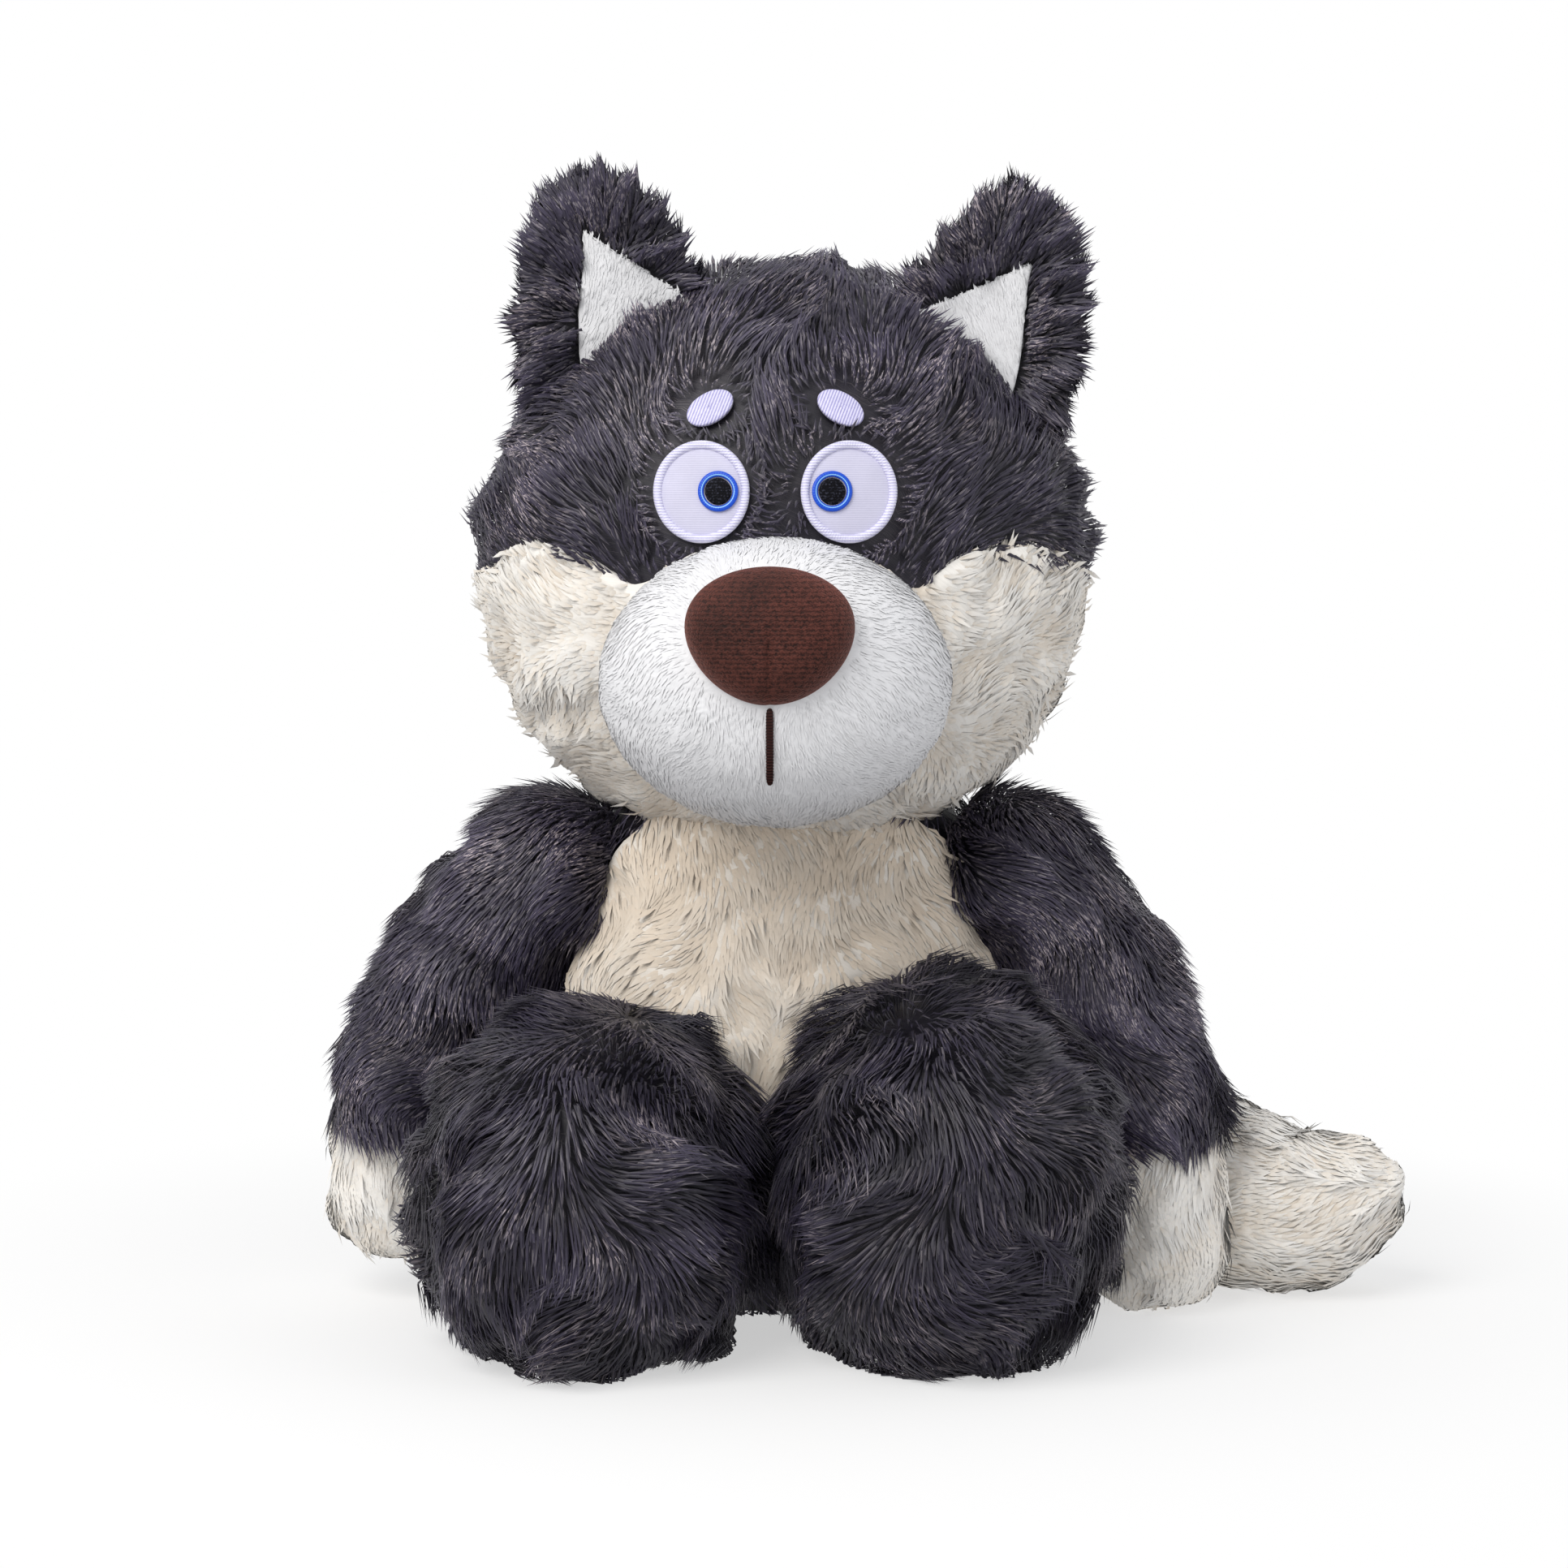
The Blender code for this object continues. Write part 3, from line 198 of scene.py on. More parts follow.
def sprinkle(form, amount, seed, vFirst=0.0, vLast=1.0, cells=96):
    # Roots spread evenly over a form: a cell of its grid is met in proportion to its area, in a golden
    # pattern. Gives the points, the normals out of the surface and the direction in which v grows
    count = int(amount * density)
    goldenSteps = np.array([0.7548776662, 0.5698402910])
    jitter = 0.25 / cells
    edgeU = np.linspace(0.0, 1.0, cells + 1)
    edgeV = np.linspace(vFirst, vLast, cells + 1)
    corner = form(edgeU[None, :], edgeV[:, None])
    wide = np.linalg.norm(np.diff(corner, axis=1), axis=2)
    tall = np.linalg.norm(np.diff(corner, axis=0), axis=2)
    area = (wide[:-1] + wide[1:]) * (tall[:, :-1] + tall[:, 1:])
    rowShare = np.concatenate([[0.0], np.cumsum(area.sum(axis=1))]) / area.sum()
    golden = (0.5 + np.arange(count)[:, None] * goldenSteps) % 1.0
    row = np.clip(np.searchsorted(rowShare, golden[:, 0], side="right") - 1, 0, cells - 1)
    rowPart = (golden[:, 0] - rowShare[row]) / (rowShare[row + 1] - rowShare[row])
    v = vFirst + (vLast - vFirst) * (row + rowPart) / cells
    columnShare = np.cumsum(area, axis=1) / area.sum(axis=1, keepdims=True)
    column = np.minimum((columnShare[row] < golden[:, 1:2]).sum(axis=1), cells - 1)
    before = np.where(column > 0, columnShare[row, column - 1], 0.0)
    u = (column + (golden[:, 1] - before) / (columnShare[row, column] - before)) / cells
    chance = np.random.default_rng(seed)
    u = (u + chance.normal(0.0, jitter, count)) % 1.0
    v = v + chance.normal(0.0, jitter * (vLast - vFirst), count)
    return rooted(form, u, np.clip(v, vFirst + 1e-4, vLast - 1e-4))


def rooted(form, u, v):
    # the point, the outward normal and the direction of growing v, from small steps in u and v
    step = 1e-4
    aroundStep = form(u + step, v) - form(u - step, v)
    alongStep = form(u, np.minimum(v + step, 1.0)) - form(u, np.maximum(v - step, 0.0))
    normals = unit(np.cross(aroundStep, alongStep)) * outwardSign(form)
    return form(u, v), normals, along(alongStep, normals)


def outwardSign(form):
    # one where the steps in u and v, crossed, point out of the closed form, else minus one: its volume's sign
    grid = form(np.linspace(0.0, 1.0, 41)[None, :], np.linspace(0.0, 1.0, 41)[:, None])
    first = grid[:-1, :-1] - grid.mean(axis=(0, 1))
    turned = np.cross(grid[:-1, 1:] - grid[:-1, :-1], grid[1:, :-1] - grid[:-1, :-1])
    return 1.0 if (first * turned).sum() > 0.0 else -1.0


def settle(points, ground, height):
    # Points moved along the normal of the ground's nearest point until they stand at their height over it
    group = 4000  # points looked up at a time
    places, upright = ground
    nearest = [((places ** 2).sum(axis=1) - 2.0 * points[start:start + group] @ places.T).argmin(axis=1)
               for start in range(0, len(points), group)]
    nearest = np.concatenate(nearest)
    gap = ((points - places[nearest]) * upright[nearest]).sum(axis=1)
    return points + upright[nearest] * (height - gap)[:, None]


# Depths and heights in millimetres, turns in degrees. A laid lock follows its skin, a stray one stands off
lockShape = {"steepness": 1.2, "bendAt": 0.45, "bendGather": 0.35, "strayRise": 22.0, "strayRest": 12.0,
             "rootDepth": 0.8, "laidRoot": 0.4, "laidBend": 0.25, "laidTip": 0.3, "strayBend": 1.8,
             "strayTip": 4.2, "roll": 0.15, "toneStep": 0.004}


def locks(roots, normals, flow, fur, lengthShare, seed, ground):
    # Each lock is a spindle: a root in the skin, three points round its bend, where it is widest, and its
    # tip. It rises from the skin, bends over into the flow and leans towards the nearest crest of a fine
    # noise, so that neighbours gather in tufts with dark valleys between them. Locks that follow the skin are
    # laid on it instead
    shape = lockShape
    chance = np.random.default_rng(seed)
    count = len(roots)
    crest, slope = waves(roots, fur["tuftSize"] * mm, seed + 1)
    swirl = waves(roots, fur["swirlSize"] * mm, seed + 2)[0]
    patch = np.tanh(1.3 * waves(roots, fur["patchSize"] * mm, seed + 3)[0])
    turn = (swirl * fur["swirl"] + chance.normal(0.0, fur["mess"], count))[:, None]
    heading = flow * np.cos(turn) + np.cross(normals, flow) * np.sin(turn)
    slope = slope - normals * (slope * normals).sum(axis=1, keepdims=True)
    swell = np.tanh(shape["steepness"] * crest)
    leaning = fur["lift"] * mm * 0.6 * (1.0 - swell ** 2) * lengthShare
    mound = unit(normals - slope * leaning[:, None])
    gather = slope * (fur["tuftSize"] * mm) / (2.0 * math.pi) * fur["gather"] * mm
    tall = 0.5 + 0.5 * swell
    length = fur["length"] * mm * lengthShare * chance.uniform(0.75, 1.15, count) * (0.78 + 0.3 * tall)
    rise = np.radians(fur["rise"]) * (0.7 + 0.5 * tall) * (1.0 - fur["patch"] * patch)
    rise = rise * chance.uniform(0.8, 1.2, count)
    rest = np.radians(fur["rest"]) * (0.4 + 1.0 * tall) + chance.normal(0.0, 0.1 * fur["loose"], count)
    stray = chance.random(count) < fur["stray"]
    rise = np.where(stray, rise + math.radians(shape["strayRise"]), rise)
    rest = np.where(stray, rest + math.radians(shape["strayRest"]), rest)
    first = heading * np.cos(rise)[:, None] + normals * np.sin(rise)[:, None]
    second = heading * np.cos(rest)[:, None] + normals * np.sin(rest)[:, None]
    lift = fur["lift"] * mm * (lengthShare + (1.0 - lengthShare) * fur["fill"])
    lifted = roots + normals * (lift * tall)[:, None]
    bend = lifted + first * (shape["bendAt"] * length)[:, None]
    bend = bend + gather * shape["bendGather"] * lengthShare[:, None]
    tip = bend + second * ((1.0 - shape["bendAt"]) * length)[:, None] + gather * lengthShare[:, None]
    hidden = roots - normals * (shape["rootDepth"] * mm)
    if fur["follow"]:
        loose = chance.uniform(0.3, 1.0, count) * lengthShare * mm
        hidden = settle(roots, ground, -shape["laidRoot"] * mm)
        bend = settle(bend, ground, loose * np.where(stray, shape["strayBend"], shape["laidBend"]))
        tip = settle(tip, ground, loose * np.where(stray, shape["strayTip"], shape["laidTip"]))
    tip[:, 2] = np.maximum(tip[:, 2], fur["floor"] * mm)
    bend[:, 2] = np.maximum(bend[:, 2], fur["floor"] * mm)
    direction = unit(tip - lifted)
    side = unit(np.cross(normals, direction))
    upward = np.cross(direction, side)
    half = fur["width"] * mm * chance.uniform(0.7, 1.2, count) / 2.0
    roll = math.pi / 6.0 + chance.normal(0.0, shape["roll"], count)
    ring = []
    for corner in range(3):
        angle = roll + corner * 2.0 * math.pi / 3.0
        ring.append(bend + side * (np.cos(angle) * half)[:, None]
                    + upward * (np.sin(angle) * half * fur["flatness"])[:, None])
    hidden[:, 2] = np.maximum(hidden[:, 2], 0.2 * mm)
    points = np.stack([hidden, *ring, tip], axis=1)
    own = np.stack([normals, *(unit(corner - bend) for corner in ring), upward], axis=1)
    shading = unit(mound[:, None] * fur["soft"] + own * (1.0 - fur["soft"]))
    pattern = np.array([[0, 2, 1], [0, 3, 2], [0, 1, 3], [4, 1, 2], [4, 2, 3], [4, 3, 1]])
    triangles = (np.arange(count)[:, None, None] * 5 + pattern[None]).reshape(-1, 3)
    tone = chance.uniform(0.02, 0.98, count)
    # Painted shade: locks low in the valleys between tufts take a darker part of the map from root to tip; patch varies
    # it at random and bright scales it per piece
    light = (0.5 + 0.5 * tall) * (1.0 + fur["patch"] * 0.5 * (patch - 1.0)) * fur["bright"]
    mapU = np.stack([tone, tone - shape["toneStep"], tone, tone + shape["toneStep"], tone], axis=1)
    mapV = np.stack([0.02 + 0.0 * light, 0.5 * light, 0.5 * light, 0.5 * light, 0.97 * light], axis=1)
    places = np.stack([mapU, mapV], axis=2).reshape(-1, 2)
    return points.reshape(-1, 3), triangles, places, shading.reshape(-1, 3)


def furPiece(name, node, skin, sown, keep, fur, cloth, seed, share=None, skinMap=None, fill=0.6):
    # One furry piece of the toy: its closed skin, filled out under the tufts, and all its locks in one mesh.
    # What is sown is the roots, their normals and the direction in which the fur lies; keep tells which grow
    roots, normals, flow = (rows[keep] for rows in sown)
    share = np.ones(len(roots)) if share is None else share[keep]
    points, triangles = skin
    crest = waves(points, fur["tuftSize"] * mm, seed + 1)[0]
    tall = 0.5 + 0.5 * np.tanh(lockShape["steepness"] * crest)
    filled = fur["fill"] * fur["lift"] * mm * tall
    points = points + pointNormals(points, triangles) * filled[:, None]
    points[:, 2] = np.maximum(points[:, 2], 0.0)
    upright = pointNormals(points, triangles)
    tufts, tuftTriangles, uvs, shading = locks(roots, normals, flow, fur, share, seed, (points, upright))
    # Painted shade: the skin between the locks takes a colour near the roots', darker where it lies low between tufts
    if skinMap is None:
        drift = 0.5 + 0.4 * np.sin(points @ np.array([40.0, 55.0, 70.0]))
        skinMap = np.stack([drift, fur["skin"] * tall ** 0.5], axis=1)
    tufts[:, 2] = np.maximum(tufts[:, 2], 0.0)
    triangles = np.vstack([triangles, tuftTriangles + len(points)])
    meshPiece(name, node, np.vstack([points, tufts]), triangles, cloth, np.vstack([skinMap, uvs]), fill,
              np.vstack([upright, shading]))


def coatPiece(name, node, form, coat, fur, cloth, keep, lie=None, fill=0.6):
    # A furry piece whose skin and locks come from one form. keep and lie are functions of the roots, their
    # normals and the direction of growing v: which roots stay, and the direction in which the fur lies
    sown = sprinkle(form, coat["locks"], coat["seed"], coat["first"], coat["last"])
    flow = sown[2] if lie is None else lie(*sown)
    skin = roundGrid(shrunk(form, coat["inset"]), coat["rows"], coat["columns"])
    seed = coat["seed"] + coat["tuftSeed"]
    furPiece(name, node, skin, (*sown[:2], flow), keep(*sown), fur, cloth, seed, fill=fill)


# What most coats share: locks from one end of the form (v = 0) to the other, on a skin let in by so much.
# tuftSeed is added to the seed of the roots
plainCoat = {"first": 0.0, "last": 1.0, "inset": 0.8, "tuftSeed": 1}


# Cloths

def nodesOf(name, roughness, sheen, sheenTint=(1.0, 1.0, 1.0), shine=0.35):
    # a new material with its constants set, its tree of nodes and its shader
    made = bpy.data.materials.new(name)
    made.use_nodes = True
    tree = made.node_tree
    shader = tree.nodes["Principled BSDF"]
    setSockets(tree, shader, {"Roughness": roughness, "Specular IOR Level": shine, "Sheen Weight": sheen,
                              "Sheen Roughness": 0.45, "Sheen Tint": (*sheenTint, 1.0)})
    return made, tree, shader


def setSockets(tree, node, values):
    # gives each socket its value, or a link where the value is another node's output
    for socket, value in values.items():
        if isinstance(value, bpy.types.NodeSocket):
            tree.links.new(value, node.inputs[socket])
        else:
            node.inputs[socket].default_value = value


def addNode(tree, kind, values):
    node = tree.nodes.new(kind)
    setSockets(tree, node, values)
    return node


def ramp(tree, source, stops):
    # colours at places from 0 to 1. A number stands for a grey
    node = addNode(tree, "ShaderNodeValToRGB", {"Fac": source})
    band = node.color_ramp
    while len(band.elements) < len(stops):
        band.elements.new(0.5)
    for element, (place, colour) in zip(band.elements, stops):
        element.position = place
        element.color = (*colour, 1.0) if isinstance(colour, tuple) else (colour, colour, colour, 1.0)
    return node.outputs["Color"]


def combined(tree, operation, first, second):
    node = addNode(tree, "ShaderNodeMath", {0: first, 1: second})
    node.operation = operation
    return node.outputs[0]


def mixed(tree, share, first, second, blend="MIX"):
    node = tree.nodes.new("ShaderNodeMix")
    node.data_type = "RGBA"
    node.blend_type = blend
    first, second = ((*value, 1.0) if isinstance(value, tuple) else value for value in (first, second))
    setSockets(tree, node, {0: share, 6: first, 7: second})
    return node.outputs[2]


def noiseOn(tree, place, scale, detail=2.0, dimensions="3D"):
    node = addNode(tree, "ShaderNodeTexNoise", {"Vector": place, "Scale": scale, "Detail": detail})
    node.noise_dimensions = dimensions
    return node.outputs["Fac"]


def reliefOn(tree, shader, height, strength, depth):
    # lets the light see the height as relief, depth millimetres deep
    bump = addNode(tree, "ShaderNodeBump", {"Strength": strength, "Distance": depth * mm, "Height": height})
    setSockets(tree, shader, {"Normal": bump.outputs["Normal"]})


def pileMap(tree):
    # the two numbers of the pile's own map: u tells the locks apart, v goes from root to tip
    node = tree.nodes.new("ShaderNodeUVMap")
    node.uv_map = "OFBake"
    parts = addNode(tree, "ShaderNodeSeparateXYZ", {0: node.outputs["UV"]})
    return parts.outputs[0], parts.outputs[1]


def grainOn(tree, u, v, scales):
    # noise drawn out along the hairs, from the pile's map
    place = addNode(tree, "ShaderNodeCombineXYZ", {0: combined(tree, "MULTIPLY", u, scales[0]),
                                                   1: combined(tree, "MULTIPLY", v, scales[1])})
    return noiseOn(tree, place.outputs[0], 1.0, 1.0, "2D")


# Scales of the fur's grain across and along the hairs, and of the patches that hold the painted sparkle highlights
grainScales = {"tone": (150.0, 0.7), "glint": (290.0, 5.0), "spark": (420.0, 9.0), "relief": (290.0, 1.0),
               "patch": 40.0, "depth": 0.4}


def pileCloth(name, slot, look):
    # Fur: a colour from root to tip, its dark roots partly painted shade, each lock lighter or darker, and painted
    # highlights: glints and sparkles
    made, tree, shader = nodesOf(name, look["roughness"], look["sheen"], look["sheenTint"])
    u, v = pileMap(tree)
    tone, glint, spark, relief = (grainOn(tree, u, v, grainScales[kind])
                                  for kind in ("tone", "glint", "spark", "relief"))
    tone = ramp(tree, tone, [(0.32, look["dark"]), (0.68, look["light"])])
    colour = mixed(tree, 1.0, ramp(tree, v, look["rootToTip"]), tone, "MULTIPLY")
    # Painted highlight: glints, short bright dashes along the hairs, stronger towards the tips
    bright = ramp(tree, glint, [(look["glintFrom"], 0.0), (look["glintTo"], 1.0)])
    bright = combined(tree, "MULTIPLY", bright, combined(tree, "MULTIPLY", v, look["glint"]))
    colour = mixed(tree, bright, colour, look["glintColour"])
    # Painted highlight: sparkles, fine bright dashes in patches over the piece
    place = tree.nodes.new("ShaderNodeTexCoord").outputs["Object"]
    where = ramp(tree, noiseOn(tree, place, grainScales["patch"]), [(0.48, 0.0), (0.6, look["spark"])])
    spark = combined(tree, "MULTIPLY", ramp(tree, spark, [(0.58, 0.0), (0.64, 1.0)]), where)
    colour = mixed(tree, combined(tree, "MULTIPLY", spark, v), colour, look["sparkColour"])
    setSockets(tree, shader, {"Base Color": colour})
    reliefOn(tree, shader, relief, look["bump"], grainScales["depth"])
    return made, slot


# In each look, glint and spark with their colours are painted highlights, and the darker root end of rootToTip is
# partly painted shade deep in the pile
darkFurLook = {
    "roughness": 0.46, "sheen": 0.05, "sheenTint": (0.72, 0.7, 0.85), "bump": 0.2,
    "rootToTip": [(0.0, (0.005, 0.0042, 0.0085)), (0.25, (0.022, 0.018, 0.034)),
                  (0.6, (0.053, 0.045, 0.077)), (1.0, (0.124, 0.106, 0.167))],
    "dark": 0.7, "light": 1.25, "glint": 0.6, "glintFrom": 0.61, "glintTo": 0.67,
    "glintColour": (0.52, 0.47, 0.49), "spark": 0.95, "sparkColour": (0.74, 0.63, 0.65),
}
creamFurLook = {
    "roughness": 0.85, "sheen": 0.08, "sheenTint": (1.0, 0.98, 0.95), "bump": 0.0,
    "rootToTip": [(0.0, (0.74, 0.62, 0.49)), (0.25, (0.85, 0.765, 0.66)), (0.55, (0.91, 0.865, 0.80)),
                  (1.0, (0.93, 0.91, 0.875))],
    "dark": 0.93, "light": 1.02, "glint": 0.3, "glintFrom": 0.6, "glintTo": 0.75,
    "glintColour": (0.94, 0.93, 0.92), "spark": 0.4, "sparkColour": (0.96, 0.95, 0.94),
}
whitePileLook = {
    "roughness": 0.5, "sheen": 0.1, "sheenTint": (1.0, 1.0, 1.0), "bump": 0.15,
    "rootToTip": [(0.0, (0.80, 0.80, 0.82)), (0.5, (0.83, 0.83, 0.85)), (1.0, (0.86, 0.86, 0.88))],
    "dark": 0.96, "light": 1.02, "glint": 0.4, "glintFrom": 0.6, "glintTo": 0.75,
    "glintColour": (0.90, 0.90, 0.91), "spark": 0.5, "sparkColour": (0.93, 0.93, 0.94),
}
darkFur = pileCloth("dark_shaggy_fur", "dark_fur", darkFurLook)
creamFur = pileCloth("cream_shaggy_fur", "cream_fur", creamFurLook)
whitePile = pileCloth("white_short_pile", "white_pile", whitePileLook)
print("cloths made")


# Shapes of the stuffed pieces, the same as their solids, each as a function of u round it and v along it

seamGap = 0.35
torsoSize = {"halfWidth": 88.0, "halfDepth": 65.0, "height": 216.0, "waist": 70.0, "lowerReach": 95.0,
             "back": 12.0, "seatShare": 0.12}
bellySize = {"halfWidth": 75.0, "halfHeight": 84.0, "height": 108.0, "swell": 4.0}
headSize = {"halfWidth": 105.0, "halfDepth": 80.0, "halfHeight": 101.0, "height": 264.0, "forward": 3.0,
            "jowls": 0.05, "faceTurn": 0.036}
cheekSize = {"top": 267.0, "back": 16.0, "corner": 40.0, "muzzleDip": 12.0, "dipMiddle": 3.0, "dipOut": 47.0,
             "dipWidth": 13.0, "earDip": 9.0, "earDipFrom": 88.0, "earDipTo": 106.0}
muzzleSize = {"halfWidth": 58.5, "halfHeight": 48.0, "reach": 50.0, "back": 20.0, "drop": 39.5, "seat": 80.0,
              "bluntness": 0.9}
earSize = {"halfWidth": 35.0, "halfHeight": 47.0, "halfThickness": 8.0, "cup": 9.0, "taper": 0.4,
           "skew": 5.5, "squareness": 0.85, "forward": 20.0}
liningSize = {"halfWidth": 54.0, "halfHeight": 36.0, "halfThickness": 2.4, "cup": 3.0, "taper": 0.95,
              "skew": 25.6, "squareness": 0.85, "proud": 3.5, "shift": 16.0, "drop": 5.0}
earPlace = {"left": {"inset": 36.0, "sink": 25.0, "lean": 11.0},
            "right": {"inset": 46.5, "sink": 19.0, "lean": 1.0}}
armSize = {"shoulder": 166.0, "shoulderOut": 60.0, "halfWidth": 28.5, "cuff": 26.0, "bulgeOut": 10.0,
           "bulgeUp": 6.0, "hand": 25.0, "droop": 3.2, "swing": 0.06}
cuffPlace = {"left": {"out": 127.0, "height": 60.0, "forward": 17.0, "hand": 60.0},
             "right": {"out": 133.5, "height": 63.0, "forward": -2.0, "hand": 48.0}}
legSize = {"shift": 5.0, "spacing": 57.5, "hipOut": 44.0, "hipWidth": 36.0, "hipHeight": 38.0,
           "kneeRise": 2.0, "heelDrop": 8.0, "footWidth": 55.5, "front": 148.0, "length": 78.0, "sink": 6.0,
           "bluntness": 0.5, "left": 67.0, "right": 63.0}
tailSize = {"rootWidth": 25.0, "width": 31.0, "tipWidth": 26.0, "bluntness": 0.55,
            "path": [(0.0, 57.5, 74.0), (79.0, 90.0, 74.0), (154.0, 31.0, 36.0), (208.0, 10.0, 50.0)]}
headMiddle = np.array([0.0, -headSize["forward"], headSize["height"]]) * mm


def torsoAt(u, v, swell=0.0):
    # A pear: half an ellipse above the waist and one below it, as deep as the seat, then the flat seat itself
    size = torsoSize
    wall = 1.0 - size["seatShare"]
    lowest = -math.asin(size["waist"] / size["lowerReach"])
    turn = math.pi / 2.0 + (lowest - math.pi / 2.0) * np.clip(v / wall, 0.0, 1.0)
    reach = np.where(turn < 0.0, size["lowerReach"], size["height"] - size["waist"])
    share = np.cos(turn) * np.clip((1.0 - v) / size["seatShare"], 0.0, 1.0)
    angle = 2.0 * math.pi * u
    return stack((size["halfWidth"] + swell) * share * np.cos(angle),
                 size["back"] + (size["halfDepth"] + swell) * share * np.sin(angle),
                 size["waist"] + reach * np.sin(turn)) * mm


def torsoDepth(points, grow=0.0):
    # below one inside the torso, above one outside it
    size = torsoSize
    x, y, z = (points[..., axis] / mm for axis in range(3))
    reach = np.where(z < size["waist"], size["lowerReach"], size["height"] - size["waist"])
    return np.sqrt((x / (size["halfWidth"] + grow)) ** 2
                   + ((y - size["back"]) / (size["halfDepth"] + grow)) ** 2
                   + ((z - size["waist"]) / (reach + grow)) ** 2)


def headAt(u, v):
    # An ellipsoid from the crown to the chin, fuller at the jowls
    size = headSize
    turn = math.pi / 2.0 - math.pi * v
    wide = size["halfWidth"] * np.cos(turn) * (1.0 - size["jowls"] * np.sin(turn))
    angle = 2.0 * math.pi * u
    return headMiddle + stack(wide * np.cos(angle), size["halfDepth"] * np.cos(turn) * np.sin(angle),
                              size["halfHeight"] * np.sin(turn)) * mm


def headDepth(points, grow=0.0):
    # below one inside the head, above one outside it
    size = headSize
    x, y, z = ((points - headMiddle)[..., axis] / mm for axis in range(3))
    wide = size["halfWidth"] * (1.0 - size["jowls"] * np.clip(z / size["halfHeight"], -1.0, 1.0))
    return np.sqrt((x / (wide + grow)) ** 2 + (y / (size["halfDepth"] + grow)) ** 2
                   + (z / (size["halfHeight"] + grow)) ** 2)


def facePoint(across, above, proud):
    # A point on the front of the head, in millimetres from its middle, proud of its skin by so much
    size = headSize
    across = across - size["faceTurn"] * size["halfDepth"]
    wide = size["halfWidth"] * (1.0 - size["jowls"] * above / size["halfHeight"])
    inside = np.maximum(1.0 - (across / wide) ** 2 - (above / size["halfHeight"]) ** 2, 0.02)
    place = stack(across, -size["halfDepth"] * np.sqrt(inside), above)
    normal = unit(place / np.array([size["halfWidth"], size["halfDepth"], size["halfHeight"]]) ** 2)
    return headMiddle + (place + normal * np.asarray(proud)[..., None]) * mm


muzzleMiddle = headMiddle + np.array([-headSize["faceTurn"] * muzzleSize["seat"], -muzzleSize["seat"],
                                      -muzzleSize["drop"]]) * mm


def muzzleAt(u, v):
    # A dome: from its tip (v = 0) back to its widest outline, then quickly in to the back
    size = muzzleSize
    turn = -math.pi / 2.0 + math.pi * v
    reach = np.where(turn < 0.0, size["reach"], size["back"])
    share = np.maximum(np.cos(turn), 0.0) ** size["bluntness"]
    angle = 2.0 * math.pi * u
    return muzzleMiddle + stack(size["halfWidth"] * share * np.cos(angle), reach * np.sin(turn),
                                size["halfHeight"] * share * np.sin(angle)) * mm


def muzzleDepth(points, grow=0.0):
    # below one inside the muzzle, above one outside it
    size = muzzleSize
    x, y, z = ((points - muzzleMiddle)[..., axis] / mm for axis in range(3))
    reach = np.where(y < 0.0, size["reach"], size["back"] + 30.0)
    level = np.sqrt((x / (size["halfWidth"] + grow)) ** 2 + (z / (size["halfHeight"] + grow)) ** 2)
    return np.sqrt(level ** (2.0 / size["bluntness"]) + (y / (reach + grow)) ** 2)


def earMiddle(name, side):
    place = earPlace[name]
    out = side * (headSize["halfWidth"] - place["inset"])
    return headMiddle + np.array([out, -earSize["forward"], headSize["halfHeight"] - place["sink"]]) * mm


def liningMiddle(name, side):
    size = liningSize
    return earMiddle(name, side) + np.array([-side * size["shift"], -size["proud"], -size["drop"]]) * mm


def earAt(u, v, size, middle, name, side):
    # A cupped pad: from the middle of its front out over the rim and in to the middle of its back,
    # with full shoulders, narrower and further to the side towards the top
    turn = math.pi * v
    share = np.maximum(np.sin(turn), 0.0) ** 0.8
    angle = 2.0 * math.pi * u
    wide = np.sign(np.cos(angle)) * np.abs(np.cos(angle)) ** size["squareness"]
    tall = np.sign(np.sin(angle)) * np.abs(np.sin(angle)) ** size["squareness"]
    across = share * (wide * size["halfWidth"] * (1.0 - size["taper"] * (tall + 1.0) / 2.0)
                      + side * size["skew"] * tall)
    above = share * tall * size["halfHeight"]
    depth = size["cup"] * (1.0 - share ** 2) - np.cos(turn) * size["halfThickness"]
    lean = math.radians(earPlace[name]["lean"]) * side
    return middle + stack(across * math.cos(lean) + above * math.sin(lean), depth,
                          above * math.cos(lean) - across * math.sin(lean)) * mm


def throughFour(points, t):
    # the cubic curve that passes through four points at shares 0, 1/3, 2/3 and 1 of its way
    first, second, third, fourth = (np.asarray(point, dtype=float) for point in points)
    t = np.asarray(t)[..., None]
    return (first * (1 - 3 * t) * (2 - 3 * t) * (1 - t) / 2.0 + second * 9 * t * (2 - 3 * t) * (1 - t) / 2.0
            + third * 9 * t * (3 * t - 1) * (1 - t) / 2.0 + fourth * t * (3 * t - 1) * (3 * t - 2) / 2.0)


def tubeAt(u, share, wide, tall, path, reference):
    # An oval ring square to a path: its side is square to the reference direction, in millimetres
    centre = throughFour(path, share)
    travel = unit(throughFour(path, share + 0.01) - throughFour(path, share - 0.01))
    side = unit(np.cross(travel, reference))
    upward = np.cross(side, travel)
    angle = 2.0 * math.pi * u
    place = centre + side * (wide * np.cos(angle))[..., None] + upward * (tall * np.sin(angle))[..., None]
    place[..., 2] = np.maximum(place[..., 2], 0.0)
    return place * mm


def armPath(name, side):
    cuff = cuffPlace[name]
    start = np.array([side * armSize["shoulderOut"], 0.0, armSize["shoulder"]])
    end = np.array([side * cuff["out"], -cuff["forward"], cuff["height"]])
    bulge = np.array([side * armSize["bulgeOut"], 0.0, armSize["bulgeUp"]])
    return [start, start + (end - start) / 3.0 + bulge, start + (end - start) * 2.0 / 3.0 + bulge, end]


